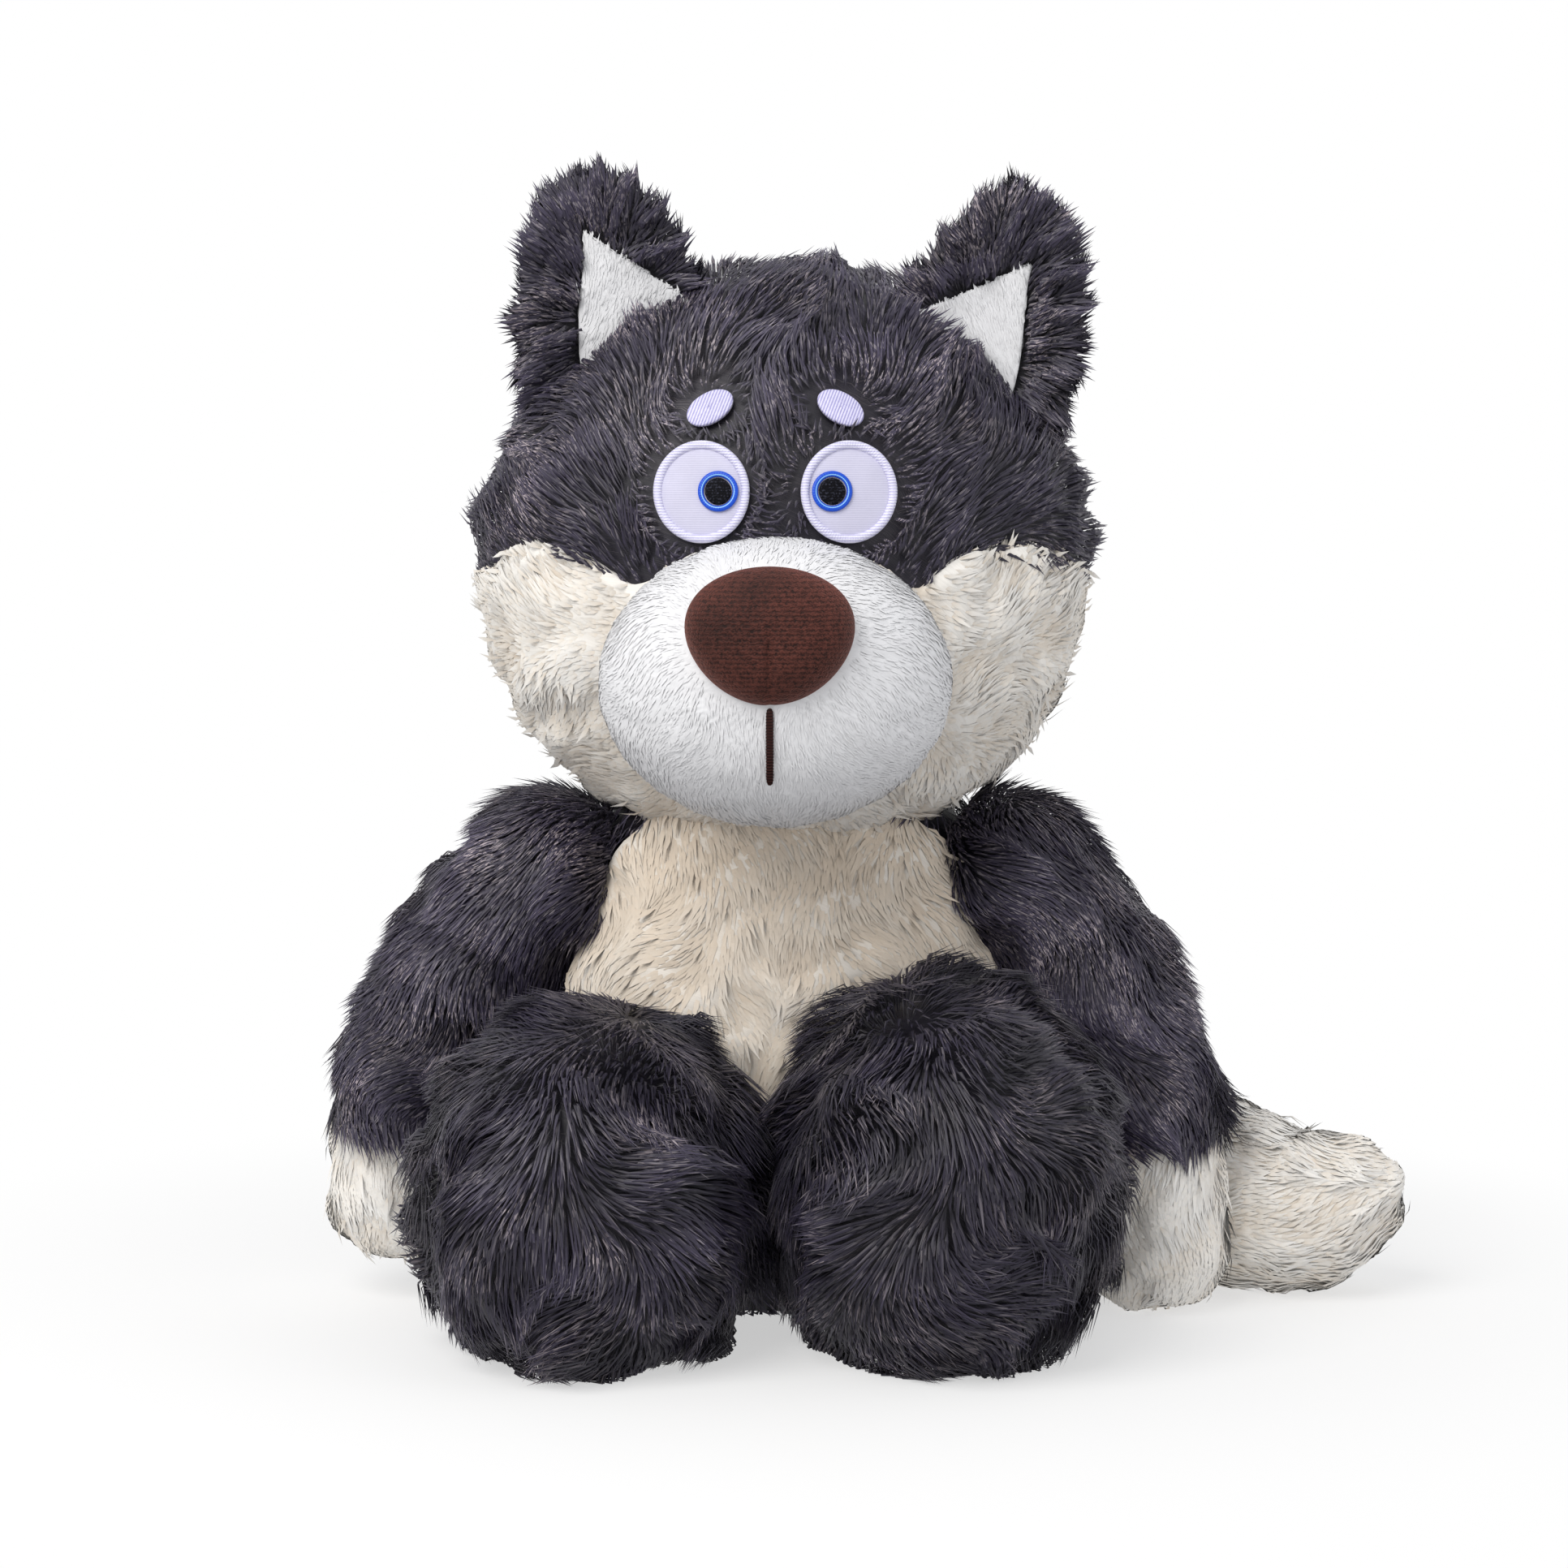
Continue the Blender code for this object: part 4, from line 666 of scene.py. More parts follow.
def armAt(u, v, name, side):
    # From a round shoulder (a quarter circle) along the arm, then flat at the cuff
    capV, cuffV = 0.2, 0.94
    capLength = 0.16
    turn = climb(0.0, capV, v) * math.pi / 2.0
    share = capLength * (1.0 - np.cos(turn)) + (1.0 - capLength) * climb(capV, cuffV, v)
    width = armSize["halfWidth"] + (armSize["cuff"] - armSize["halfWidth"]) * share
    width = width * np.sin(turn) * climb(1.0, cuffV, v)
    return tubeAt(u, share, width, width, armPath(name, side), (0.0, 1.0, 0.0))


def handPath(name, side):
    path = armPath(name, side)
    length = cuffPlace[name]["hand"]
    down = unit(path[3] - path[2])
    droop = unit(down + np.array([0.0, 0.0, -armSize["droop"]]))
    first = path[3] + down * seamGap
    last = first + droop * length
    swing = down * length * armSize["swing"]
    return [first, first + (last - first) / 3.0 + swing, first + (last - first) * 2.0 / 3.0 + swing, last]


def handAt(u, v, name, side):
    # From the flat cuff to round fingertips
    cuffV, capV, capLength = 0.1, 0.6, 0.48
    turn = climb(capV, 1.0, v) * math.pi / 2.0
    share = (1.0 - capLength) * climb(cuffV, capV, v) + capLength * np.sin(turn)
    width = armSize["cuff"] + (armSize["hand"] - armSize["cuff"]) * share
    width = width * climb(0.0, cuffV, v) * np.cos(turn)
    return tubeAt(u, share, width, width, handPath(name, side), (0.0, 1.0, 0.0))


def legAt(u, v, name, side):
    # A short leg on the floor that swells into the tall round foot, which faces forward
    size = legSize
    tall = size[name]
    heel = -size["front"] + size["length"]
    footOut = side * size["spacing"] - size["shift"]
    kneeOut = side * (size["hipOut"] + size["spacing"]) / 2.0
    path = [(side * size["hipOut"], 0.0, size["hipHeight"]),
            (kneeOut, heel * 0.5, size["hipHeight"] + size["kneeRise"]),
            (footOut, heel, tall - size["sink"] - size["heelDrop"]),
            (footOut, -size["front"], tall - size["sink"])]
    startV, capV, runLength, capLength = 0.06, 0.5, 0.68, 0.32
    turn = climb(capV, 1.0, v) * math.pi / 2.0
    share = runLength * climb(startV, capV, v) + capLength * np.sin(turn)
    swell = smooth(0.25, 0.7, share)
    close = climb(0.0, startV, v) * np.maximum(np.cos(turn), 0.0) ** size["bluntness"]
    wide = (size["hipWidth"] + (size["footWidth"] - size["hipWidth"]) * swell) * close
    high = (size["hipHeight"] + (tall - size["hipHeight"]) * swell) * close
    return tubeAt(u, share, wide, high, path, (0.0, 0.0, 1.0))


def tailAt(u, v):
    # A thick tail from the back, round the left side to a blunt tip
    size = tailSize
    startV, capV, capLength = 0.05, 0.8, 0.15
    turn = climb(capV, 1.0, v) * math.pi / 2.0
    share = (1.0 - capLength) * climb(startV, capV, v) + capLength * np.sin(turn)
    thick = np.interp(share, [0.0, 0.55, 0.72, 1.0],
                      [size["rootWidth"], size["width"], size["width"], size["tipWidth"]])
    thick = thick * climb(0.0, startV, v) * np.maximum(np.cos(turn), 0.0) ** size["bluntness"]
    return tubeAt(u, share, thick, thick, size["path"], (0.0, 0.0, 1.0))


def shrunk(form, depth):
    # the same form, let in by so much along its own normals, as the skin that the fur grows from
    def at(u, v):
        u, v = np.broadcast_arrays(u, v)
        points, normals, unused = rooted(form, u.astype(float), np.clip(v.astype(float), 1e-3, 1.0 - 1e-3))
        moved = points - normals * depth * mm
        moved[..., 2] = np.maximum(moved[..., 2], 0.0)
        return moved
    return at


# Fur of the head

darkPile = {"length": 16.0, "width": 1.25, "flatness": 0.45, "rise": 27.0, "rest": 6.0, "tuftSize": 22.0,
            "swirlSize": 55.0, "swirl": 0.65, "mess": 0.07, "gather": 3.0, "soft": 0.65, "floor": 0.4,
            "skin": 0.12, "patchSize": 36.0, "patch": 0.4, "lift": 1.8, "fill": 0.0, "follow": False,
            "stray": 0.0, "loose": 1.0, "bright": 1.0}
creamPile = {"length": 12.0, "width": 1.9, "flatness": 0.2, "rise": 1.0, "rest": -0.5, "tuftSize": 19.0,
             "swirlSize": 40.0, "swirl": 0.65, "mess": 0.12, "gather": 0.3, "soft": 0.97, "floor": 0.4,
             "skin": 0.85, "patchSize": 34.0, "patch": 0.1, "lift": 3.4, "fill": 0.97, "follow": True,
             "stray": 0.06, "loose": 0.25, "bright": 1.25}
eyeSize = {"halfWidth": 15.9, "halfHeight": 16.8, "out": 24.2, "rise": 23.2, "rimWidth": 2.8,
           "thickness": 1.8, "rimThickness": 2.6, "irisOuter": 6.6, "irisWidth": 1.9, "irisThickness": 0.9,
           "irisMargin": 0.5, "tuck": 1.6}
browSize = {"halfLength": 8.4, "halfHeight": 5.0, "out": 21.6, "rise": 51.0, "tilt": 30.0, "thickness": 1.8,
            "furGap": 0.8}


def faceRoom(points):
    # Distance in millimetres from the edge of the nearest eye or brow, below nought inside, and the direction
    # away from it
    nearest = np.full(len(points), 1e3)
    away = np.zeros_like(points)
    eye, brow = eyeSize, browSize
    browHigh = brow["halfHeight"] + brow["furGap"]
    ovals = ((eye["out"], eye["rise"], eye["halfWidth"], eye["halfHeight"]),
             (brow["out"], brow["rise"], brow["halfLength"], browHigh))
    for side, (out, rise, wide, high) in [(side, oval) for side in (leftSide, rightSide) for oval in ovals]:
        offset = points - facePoint(np.array(side * out), np.array(rise), np.array(0.0))
        size = np.linalg.norm(offset, axis=1) / mm
        ratio = np.sqrt((offset[:, 0] / wide) ** 2 + (offset[:, 2] / high) ** 2) / mm
        gap = np.where(points[:, 1] < 0.0, size * (1.0 - 1.0 / np.maximum(ratio, 0.05)), 1e3)
        closer = gap < nearest
        nearest = np.where(closer, gap, nearest)
        away = np.where(closer[:, None], unit(offset), away)
    return nearest, away


def cheekEdge(points):
    # Height over the border between dark crown and cream cheek in millimetres: the border dips beside the
    # muzzle and towards the ears, and falls down to the neck behind the cheek's round corner
    size = cheekSize
    x, y, z = (points[:, axis] / mm for axis in range(3))
    aside = (np.abs(x + size["dipMiddle"]) - size["dipOut"]) / size["dipWidth"]
    dip = size["muzzleDip"] * np.exp(-aside ** 2)
    dip = dip + size["earDip"] * smooth(size["earDipFrom"], size["earDipTo"], np.abs(x))
    behind = np.maximum(y - (size["back"] - size["corner"]), 0.0)
    rounded = np.sqrt(np.maximum(size["corner"] ** 2 - behind ** 2, 0.0)) - size["corner"]
    return z - np.where(behind < size["corner"], size["top"] - dip + rounded, -1e3)


def headFlow(points, normals):
    # outward from a point before the bridge of the nose, so that the pile lies away from the face, and down
    # behind
    away = along(points - (headMiddle + np.array([0.0, -headSize["halfDepth"], -30.0]) * mm), normals)
    back = smooth(0.0, 60.0 * mm, points[:, 1:2])
    down = along(np.array([0.0, 0.0, -1.0]), normals)
    return along(away * (1.0 - 0.85 * back) + down * back, normals)


# The fur shortens over a reach, in millimetres, beside other pieces, to the least share of its full length
headCoat = {"locks": 29000, "seed": 11, "inset": 1.6, "rows": 60, "columns": 90, "crownSeed": 12,
            "cheekSeed": 14, "faceGap": 0.4, "faceTurn": 9.0, "faceReach": 14.0, "faceLeast": 0.34,
            "muzzleReach": 1.35, "muzzleLeast": 0.6, "borderReach": 14.0, "borderLeast": 0.6,
            "liningGap": 3.0, "liningReach": 18.0, "liningLeast": 0.3, "awayShare": 1.5, "crownOverlap": 1.5,
            "cheekOverlap": 1.0, "cheekColumns": 56, "cheekRows": 44, "cheekProud": 0.2, "cheekDepth": 3.0}


def makeHead():
    # Dark crown and cream cheeks, whose fur shortens beside the face, the muzzle, the border and the linings
    coat = headCoat
    roots, normals, unused = sprinkle(headAt, coat["locks"], coat["seed"])
    gap, away = faceRoom(roots)
    edge = cheekEdge(roots)
    free = (muzzleDepth(roots, -1.0) > 1.0) & (torsoDepth(roots, -6.0) > 1.0) & (gap > coat["faceGap"])
    near = (1.0 - smooth(0.0, coat["faceTurn"], gap))[:, None]
    flow = along(headFlow(roots, normals) * (1.0 - near) + away * near * coat["awayShare"], normals)
    sown = (roots, normals, flow)
    share = grown(coat["faceLeast"], 0.0, coat["faceReach"], gap)
    share = share * grown(coat["muzzleLeast"], 1.0, coat["muzzleReach"], muzzleDepth(roots))
    short = grown(coat["borderLeast"], 0.0, coat["borderReach"], edge)
    for name, side in sides:
        cover = earAt(np.linspace(0.0, 1.0, 40)[:, None], np.linspace(0.1, 0.5, 6)[None, :], liningSize,
                      liningMiddle(name, side), name, side).reshape(-1, 3)
        clear = np.linalg.norm(roots[:, None] - cover[None], axis=2).min(axis=1) / mm
        short = short * grown(coat["liningLeast"], coat["liningGap"], coat["liningReach"], clear)
    skin = roundGrid(shrunk(headAt, coat["inset"]), coat["rows"], coat["columns"])
    furPiece("head_crown_fur", "head_crown", skin, sown, free & (edge > -coat["crownOverlap"]), darkPile,
             darkFur, coat["crownSeed"], share * short)
    for name, side in sides:
        keep = free & (edge < coat["cheekOverlap"]) & (roots[:, 0] * side > 0.0)
        furPiece(name + "_cheek_fur", name + "_cheek", cheekPad(side), sown, keep, creamPile, creamFur,
                 coat["cheekSeed"], share)


def cheekPad(side):
    # A pad on the head, from the chin seam round to the cheek's back edge and from the chin up to its border
    columns, rows = headCoat["cheekColumns"], headCoat["cheekRows"]
    azimuth = np.linspace(0.01, 0.5 * math.pi + 0.3, columns)[None, :]
    u = (0.75 + side * azimuth / (2.0 * math.pi)) % 1.0
    climb = np.linspace(0.02, 1.0, rows)[:, None]
    low, high = 0.995, 0.50
    top = np.full((1, columns), high)
    for unused in range(6):
        height = cheekEdge(headAt(u[0], top[0]).reshape(-1, 3))[None, :]
        top = np.clip(top + height / (math.pi * headSize["halfHeight"]) * 0.8, high - 0.1, low - 0.02)
    v = low + (top - low) * climb
    grid = np.broadcast_arrays(u, v)
    points, normals, unused = rooted(headAt, *grid)
    outward = unit(points - headMiddle)
    normals = np.where((normals * outward).sum(axis=-1, keepdims=True) < 0.0, -normals, normals)
    return padGrid(points + normals * headCoat["cheekProud"] * mm,
                   points - normals * headCoat["cheekDepth"] * mm)


makeHead()


muzzleCoat = {"locks": 6500, "seed": 21, "tuftSeed": 22, "last": 0.62, "inset": 0.1, "rows": 64,
              "columns": 420, "streak": 0.12, "streakSize": 3.2, "streakFrom": 20.0, "streakTo": 30.0,
              "clump": 0.25, "clumpSize": 13.0, "shiver": 2.0, "noseEdge": 1.0, "stitchRoom": 1.4, "stitchLength": 27.0,
              "rimRise": 5.0, "rimLength": 0.5}
muzzleFur = dict(creamPile, length=5.5, width=0.85, flatness=0.2, rise=0.8, rest=-0.5, tuftSize=14.0,
                 swirl=0.4, mess=0.14, gather=0.1, soft=0.97, skin=0.8, patch=0.0, lift=0.0, stray=0.0)


def makeMuzzle():
    # The white dome: its short satiny pile lies flat, over fine ridges that run outward from the nose
    coat = muzzleCoat
    points, triangles = roundGrid(shrunk(muzzleAt, coat["inset"]), coat["rows"], coat["columns"])
    normals = pointNormals(points, triangles)
    around = np.arctan2(points[:, 2] - noseMiddle[2], points[:, 0] - noseMiddle[0])
    bent = waves(points, coat["clumpSize"] * mm, 24)[0]
    clump = waves(points, coat["clumpSize"] * mm, 25)[0]
    turned = around * muzzleSize["halfWidth"] + coat["shiver"] * bent
    outward = np.linalg.norm(points - noseMiddle, axis=1) / mm
    streak = waves(stack(turned, outward * 0.12, 0.0), coat["streakSize"], 26, 30)[0]
    height = coat["streak"] * streak * smooth(coat["streakFrom"], coat["streakTo"], outward)
    points = points + normals * ((height + coat["clump"] * clump) * mm)[:, None]
    uvs = np.stack([(around / (2.0 * math.pi) + 0.02 * bent) % 1.0, 0.72 + 0.12 * np.tanh(streak)], axis=1)
    roots, rootNormals, unused = sprinkle(muzzleAt, coat["locks"], coat["seed"], 0.0, coat["last"])
    offset = (roots - noseMiddle) / mm
    hidden = ((offset[:, 0] / (noseSize["halfWidth"] - coat["noseEdge"])) ** 2
              + (offset[:, 2] / (noseSize["halfHeight"] - coat["noseEdge"])) ** 2) < 1.0
    stitched = ((np.abs(offset[:, 0]) < coat["stitchRoom"]) & (offset[:, 2] < 0.0)
                & (offset[:, 2] > -noseSize["halfHeight"] - coat["stitchLength"]))
    keep = ~hidden & ~stitched & (headDepth(roots, -6.0) > 1.0)
    flow = along(offset * np.array([1.0, 0.6, 1.0]) + np.array([0.0, 0.0, -8.0]), rootNormals)
    level = np.hypot((roots[:, 0] - muzzleMiddle[0]) / muzzleSize["halfWidth"],
                     (roots[:, 2] - muzzleMiddle[2]) / muzzleSize["halfHeight"]) / mm
    rim = smooth(0.8, 1.0, level)
    fur = dict(muzzleFur, rise=(muzzleFur["rise"] + coat["rimRise"] * rim)[keep])
    furPiece("muzzle_pile", "muzzle", (points, triangles), (roots, rootNormals, flow), keep, fur, whitePile,
             coat["tuftSeed"], 1.0 + coat["rimLength"] * rim, uvs, 0.7)


noseSize = {"halfWidth": 27.0, "halfHeight": 22.3, "halfDepth": 17.0, "rise": 17.0, "sink": 1.0,
            "taper": 0.14, "bluntness": 0.8, "seamDepth": 1.1, "seamWidth": 1.3}
noseAhead = -muzzleSize["reach"] * math.sqrt(
    1.0 - (noseSize["rise"] / muzzleSize["halfHeight"]) ** (2.0 / muzzleSize["bluntness"])) + noseSize["sink"]
noseMiddle = muzzleMiddle + np.array([0.0, noseAhead, noseSize["rise"]]) * mm
noseMiddle[0] = headSize["faceTurn"] * (noseMiddle[1] - headMiddle[1])
makeMuzzle()


# The rest of the fur

def bellyOval(points):
    # below one inside the outline of the belly panel, seen from the front
    size = bellySize
    x, z = points[..., 0] / mm, points[..., 2] / mm
    return np.sqrt((x / size["halfWidth"]) ** 2 + ((z - size["height"]) / size["halfHeight"]) ** 2)


torsoCoat = dict(plainCoat, locks=12500, seed=31, last=1.0 - torsoSize["seatShare"], rows=50, columns=72,
                 bellyEdge=0.97)


def makeTorso():
    coatPiece("torso_fur", "torso", torsoAt, torsoCoat, darkPile, darkFur,
              lambda roots, normals, down: (headDepth(roots, -8.0) > 1.0)
              & ((bellyOval(roots) > torsoCoat["bellyEdge"]) | (roots[:, 1] > torsoSize["back"] * mm)),
              lambda roots, normals, down: along(np.array([0.0, 0.0, -1.0]), normals))


# bright dims the whole belly, partly as painted shade under the head; shade is a painted shadow under the chin, growing
# with height from shadeFrom to shadeTo
bellyCoat = {"locks": 26000, "seed": 33, "tuftSeed": 34, "rows": 30, "columns": 111, "thickness": 8.0,
             "lowest": 2.0, "spread": 6.0, "bright": 0.62, "shade": 0.36, "shadeFrom": 95.0, "shadeTo": 165.0}
bellyFur = dict(creamPile, lift=2.2, patch=0.5, skin=0.45, stray=0.03)


def makeBelly():
    # The panel is an oval cut from the torso's front, a little swollen. Its fur is painted darker under the chin, as
    # painted shadow of the head
    size, coat, swell = torsoSize, bellyCoat, bellySize["swell"]
    roots, normals, unused = sprinkle(lambda u, v: torsoAt(u, v, swell), coat["locks"], coat["seed"],
                                      0.0, 1.0 - size["seatShare"])
    keep = (bellyOval(roots) < 1.0) & (roots[:, 1] < 0.0) & (headDepth(roots, -8.0) > 1.0)
    flow = along(np.array([0.0, 0.0, -1.0]) + roots * np.array([coat["spread"], 0.0, 0.0]), normals)
    spread = np.linspace(0.02, 0.99, coat["rows"])[:, None]
    angle = np.linspace(0.0, 2.0 * math.pi, coat["columns"])[None, :]
    x = bellySize["halfWidth"] * spread * np.cos(angle)
    z = np.maximum(bellySize["height"] + bellySize["halfHeight"] * spread * np.sin(angle), coat["lowest"])
    reach = np.where(z < size["waist"], size["lowerReach"], size["height"] - size["waist"])
    level = 1.0 - ((z - size["waist"]) / reach) ** 2 - (x / (size["halfWidth"] + swell)) ** 2
    y = size["back"] - (size["halfDepth"] + swell) * np.sqrt(np.maximum(level, 0.0))
    outer = stack(x, y, z) * mm
    skin = discPad(outer, outer + np.array([0.0, coat["thickness"], 0.0]) * mm)
    shade = smooth(coat["shadeFrom"] * mm, coat["shadeTo"] * mm, roots[keep][:, 2])
    fur = dict(bellyFur, bright=coat["bright"] - coat["shade"] * shade)
    furPiece("belly_fur", "belly_panel", skin, (roots, normals, flow), keep, fur, creamFur, coat["tuftSeed"])


makeTorso()
makeBelly()


earCoat = dict(plainCoat, locks=8800, seed=41, rows=40, columns=60, backEdge=4.0, backLift=0.7)
liningCoat = dict(plainCoat, locks=2000, seed=43, last=0.52, inset=0.1, rows=30, columns=60, inward=0.35)
earFur = dict(darkPile, length=12.0, width=1.4, tuftSize=11.0, swirl=0.35, gather=2.6, rise=50.0, rest=16.0)
liningFur = dict(creamPile, length=6.0, width=0.9, flatness=0.3, rise=2.5, rest=-1.0, swirl=0.3, gather=0.3,
                 tuftSize=15.0, soft=0.95, skin=0.8, lift=0.5)


def makeEar(name, side):
    # The dark fur lies outward from the ear's middle and leaves its lining free
    middle = earMiddle(name, side)
    form = lambda u, v: earAt(u, v, earSize, middle, name, side)
    cover = lambda u, v: earAt(u, v, liningSize, liningMiddle(name, side), name, side)

    def lie(roots, normals, outward):
        outer = along((roots - middle) * np.array([1.0, 0.0, 1.0]), normals)
        return np.where(roots[:, 1:2] < middle[1] + earCoat["backEdge"] * mm, outer,
                        along(outer + np.array([0.0, 0.0, earCoat["backLift"]]), normals))

    coatPiece(name + "_ear_fur", name + "_ear", form, earCoat, earFur, darkFur,
              lambda roots, normals, outward: (headDepth(roots, -6.0) > 1.0)
              & ~((normals[:, 1] < 0.0) & insideOutline(roots, cover)), lie, 0.4)
    upward = np.array([-side * liningCoat["inward"], 0.0, 1.0])
    coatPiece(name + "_ear_lining_pile", name + "_ear_lining", cover, liningCoat, liningFur, whitePile,
              lambda roots, normals, outward: headDepth(roots, -4.0) > 1.0,
              lambda roots, normals, outward: along(upward, normals), 0.3)


def insideOutline(points, form):
    # true where a point lies inside a pad's outline, seen from the front: the ray test on its rim
    rim = form(np.linspace(0.0, 1.0, 73), np.full(73, 0.5))[:, [0, 2]]
    x, z = points[:, 0][:, None], points[:, 2][:, None]
    first, second = rim[:-1], rim[1:]
    crosses = (first[:, 1] > z) != (second[:, 1] > z)
    slant = (second[:, 0] - first[:, 0]) / (second[:, 1] - first[:, 1] + 1e-12)
    return (crosses & (x < first[:, 0] + (z - first[:, 1]) * slant)).sum(axis=1) % 2 == 1


for name, side in sides:
    makeEar(name, side)


armCoat = dict(plainCoat, locks=12600, seed=51, last=0.94, rows=50, columns=48)
handCoat = dict(plainCoat, locks=4800, seed=53, first=0.1, rows=40, columns=44)
legCoat = dict(plainCoat, locks=19500, seed=55, first=0.06, rows=60, columns=72, outward=0.3, forward=0.4)
tailCoat = dict(plainCoat, locks=10500, seed=61, first=0.05, rows=60, columns=48)
armFur = dict(darkPile, bright=1.1)
handFur = dict(creamPile, swirl=0.4, stray=0.02, bright=1.5)
legFur = dict(darkPile, length=18.0, tuftSize=22.0, swirl=1.1, swirlSize=56.0, gather=4.2, lift=3.8,
              patch=0.6, patchSize=26.0)
# Painted shade: the legs are dimmer than the other dark fur, as the feet face down, and the left leg, turned from the
# key lamp, dimmer than the right
legToneAndShade = {"left": 0.74 - 0.08, "right": 0.74 + 0.08}
tailFur = dict(creamPile, swirl=0.35, stray=0.02, bright=1.5)
offFloor = 0.6 * mm  # roots below this height would lie in the floor


def offTorso(roots, normals, onward):
    return (torsoDepth(roots, -4.0) > 1.0) & (roots[:, 2] > offFloor)


def makeLimbs(name, side):
    coatPiece(name + "_arm_fur", name + "_arm", lambda u, v: armAt(u, v, name, side), armCoat, armFur,
              darkFur,
              lambda roots, normals, down: (torsoDepth(roots, 1.0) > 1.0) & (headDepth(roots, -4.0) > 1.0))
    coatPiece(name + "_hand_fur", name + "_hand", lambda u, v: handAt(u, v, name, side), handCoat, handFur,
              creamFur, lambda roots, normals, down: roots[:, 2] > offFloor)

    def lie(roots, normals, forward):
        top = along(np.array([side * legCoat["outward"], 0.0, -1.0]), normals)
        return along(top + along(-forward, normals) * legCoat["forward"], normals)

    coatPiece(name + "_leg_fur", name + "_leg", lambda u, v: legAt(u, v, name, side),
              dict(legCoat, tuftSeed=1 + int(side)), dict(legFur, bright=legToneAndShade[name]), darkFur,
              offTorso, lie)


for name, side in sides:
    makeLimbs(name, side)
coatPiece("tail_fur", "tail", tailAt, tailCoat, tailFur, creamFur, offTorso)
print("fur made")


# Nose, mouth, eyes and brows

def threadCloth(name, slot, colour, threadColour, look):
    # Thread or short cloth: two tones along fine lines, with the lines raised, in the piece's own coordinates
    made, tree, shader = nodesOf(name, look["roughness"], look["sheen"], look["sheenTint"], look["shine"])
    place = tree.nodes.new("ShaderNodeTexCoord").outputs["Object"]
    turned = addNode(tree, "ShaderNodeMapping", {"Rotation": look["turn"], "Vector": place}).outputs["Vector"]
    lines = addNode(tree, "ShaderNodeTexWave", {"Scale": look["lines"], "Distortion": look["wobble"],
                                                "Detail": 1.0, "Detail Scale": 6.0, "Vector": turned})
    lines.wave_type = "BANDS"
    lines.bands_direction = "Z"
    grain = noiseOn(tree, turned, look["grain"])
    height = combined(tree, "ADD", combined(tree, "MULTIPLY", lines.outputs["Fac"], look["lineShare"]),
                      combined(tree, "MULTIPLY", grain, 1.0 - look["lineShare"]))
    shade = ramp(tree, height, [(look["low"], colour), (look["high"], threadColour)])
    worn = ramp(tree, noiseOn(tree, place, look["wornScale"]),
                [(0.36, 1.0 - look["worn"]), (0.64, 1.0 + look["worn"])])
    setSockets(tree, shader, {"Base Color": mixed(tree, 1.0, shade, worn, "MULTIPLY")})
    reliefOn(tree, shader, height, look["bump"], look["depth"])
    return made, slot


plainThread = {"roughness": 0.42, "sheen": 0.1, "sheenTint": (1.0, 1.0, 1.0), "turn": (0.0, 0.0, 0.0),
               "lines": 330.0, "wobble": 0.6, "grain": 900.0, "lineShare": 0.6, "bump": 0.5, "depth": 0.25,
               "low": 0.25, "high": 0.7, "shine": 0.4, "worn": 0.03, "wornScale": 90.0}
noseCloth = threadCloth("brown_velour", "nose_velour", (0.010, 0.0028, 0.0022), (0.085, 0.025, 0.018), dict(
    plainThread, roughness=0.65, sheen=0.3, sheenTint=(0.9, 0.35, 0.28), lines=210.0, wobble=5.0, grain=650.0,
    lineShare=0.3, bump=1.0, depth=0.6, shine=0.2, worn=0.3, wornScale=36.0))
eyeCloth = threadCloth("pale_eye_cloth", "eye_cloth", (0.545, 0.535, 0.68), (0.645, 0.63, 0.78), dict(
    plainThread, roughness=0.6, lines=420.0, wobble=0.3, bump=0.35, depth=0.15))
rimThread = threadCloth("white_satin_thread", "rim_thread", (0.54, 0.52, 0.76), (0.84, 0.83, 0.97),
                        plainThread)
browThread = threadCloth("lilac_satin_thread", "rim_thread", (0.36, 0.34, 0.62), (0.74, 0.72, 0.93), dict(
    plainThread, turn=(0.0, 1.2, 0.0)))
mouthThread = threadCloth("dark_brown_thread", "mouth_thread", (0.012, 0.0035, 0.003), (0.040, 0.012, 0.010),
                          dict(plainThread, shine=0.15, sheen=0.0))
pupilThread = threadCloth("black_thread", "pupil_thread", (0.002, 0.002, 0.004), (0.035, 0.037, 0.055), dict(
    plainThread, roughness=0.6, sheen=0.0, shine=0.08, grain=1300.0, lineShare=0.1, bump=0.9, depth=0.3,
    low=0.52, high=0.68))


def irisThread():
    # blue satin with one thin pale thread near its inner edge, from the ring's own map
    made, tree, shader = nodesOf("blue_satin_thread", 0.35, 0.05)
    v = pileMap(tree)[1]
    blue, pale = (0.004, 0.075, 0.60), (0.30, 0.62, 0.92)
    bands = [(0.0, blue), (0.58, blue), (0.64, pale), (0.72, pale), (0.78, blue), (1.0, blue)]
    setSockets(tree, shader, {"Base Color": ramp(tree, v, bands)})
    return made, "iris_thread"


def noseAt(u, v):
    # A rounded pad, wider at the top than at the bottom, with a shallow seam down its lower half
    size = noseSize
    turn = -math.pi / 2.0 + math.pi * v
    share = np.maximum(np.cos(turn), 0.0) ** size["bluntness"]
    angle = 2.0 * math.pi * u
    level = share * np.sin(angle)
    across = size["halfWidth"] * share * np.cos(angle) * (1.0 + size["taper"] * level)
    seam = size["seamDepth"] * np.exp(-(across / size["seamWidth"]) ** 2) * smooth(0.15, -0.1, level)
    depth = size["halfDepth"] * np.sin(turn) + np.where(turn < 0.0, seam, 0.0)
    return noseMiddle + stack(across, depth, size["halfHeight"] * level) * mm


mouthSize = {"length": 25.0, "width": 2.4, "thickness": 1.3, "threads": 26.0, "relief": 0.18, "sink": 0.1,
             "endSharpness": 14, "rows": 160, "columns": 14}


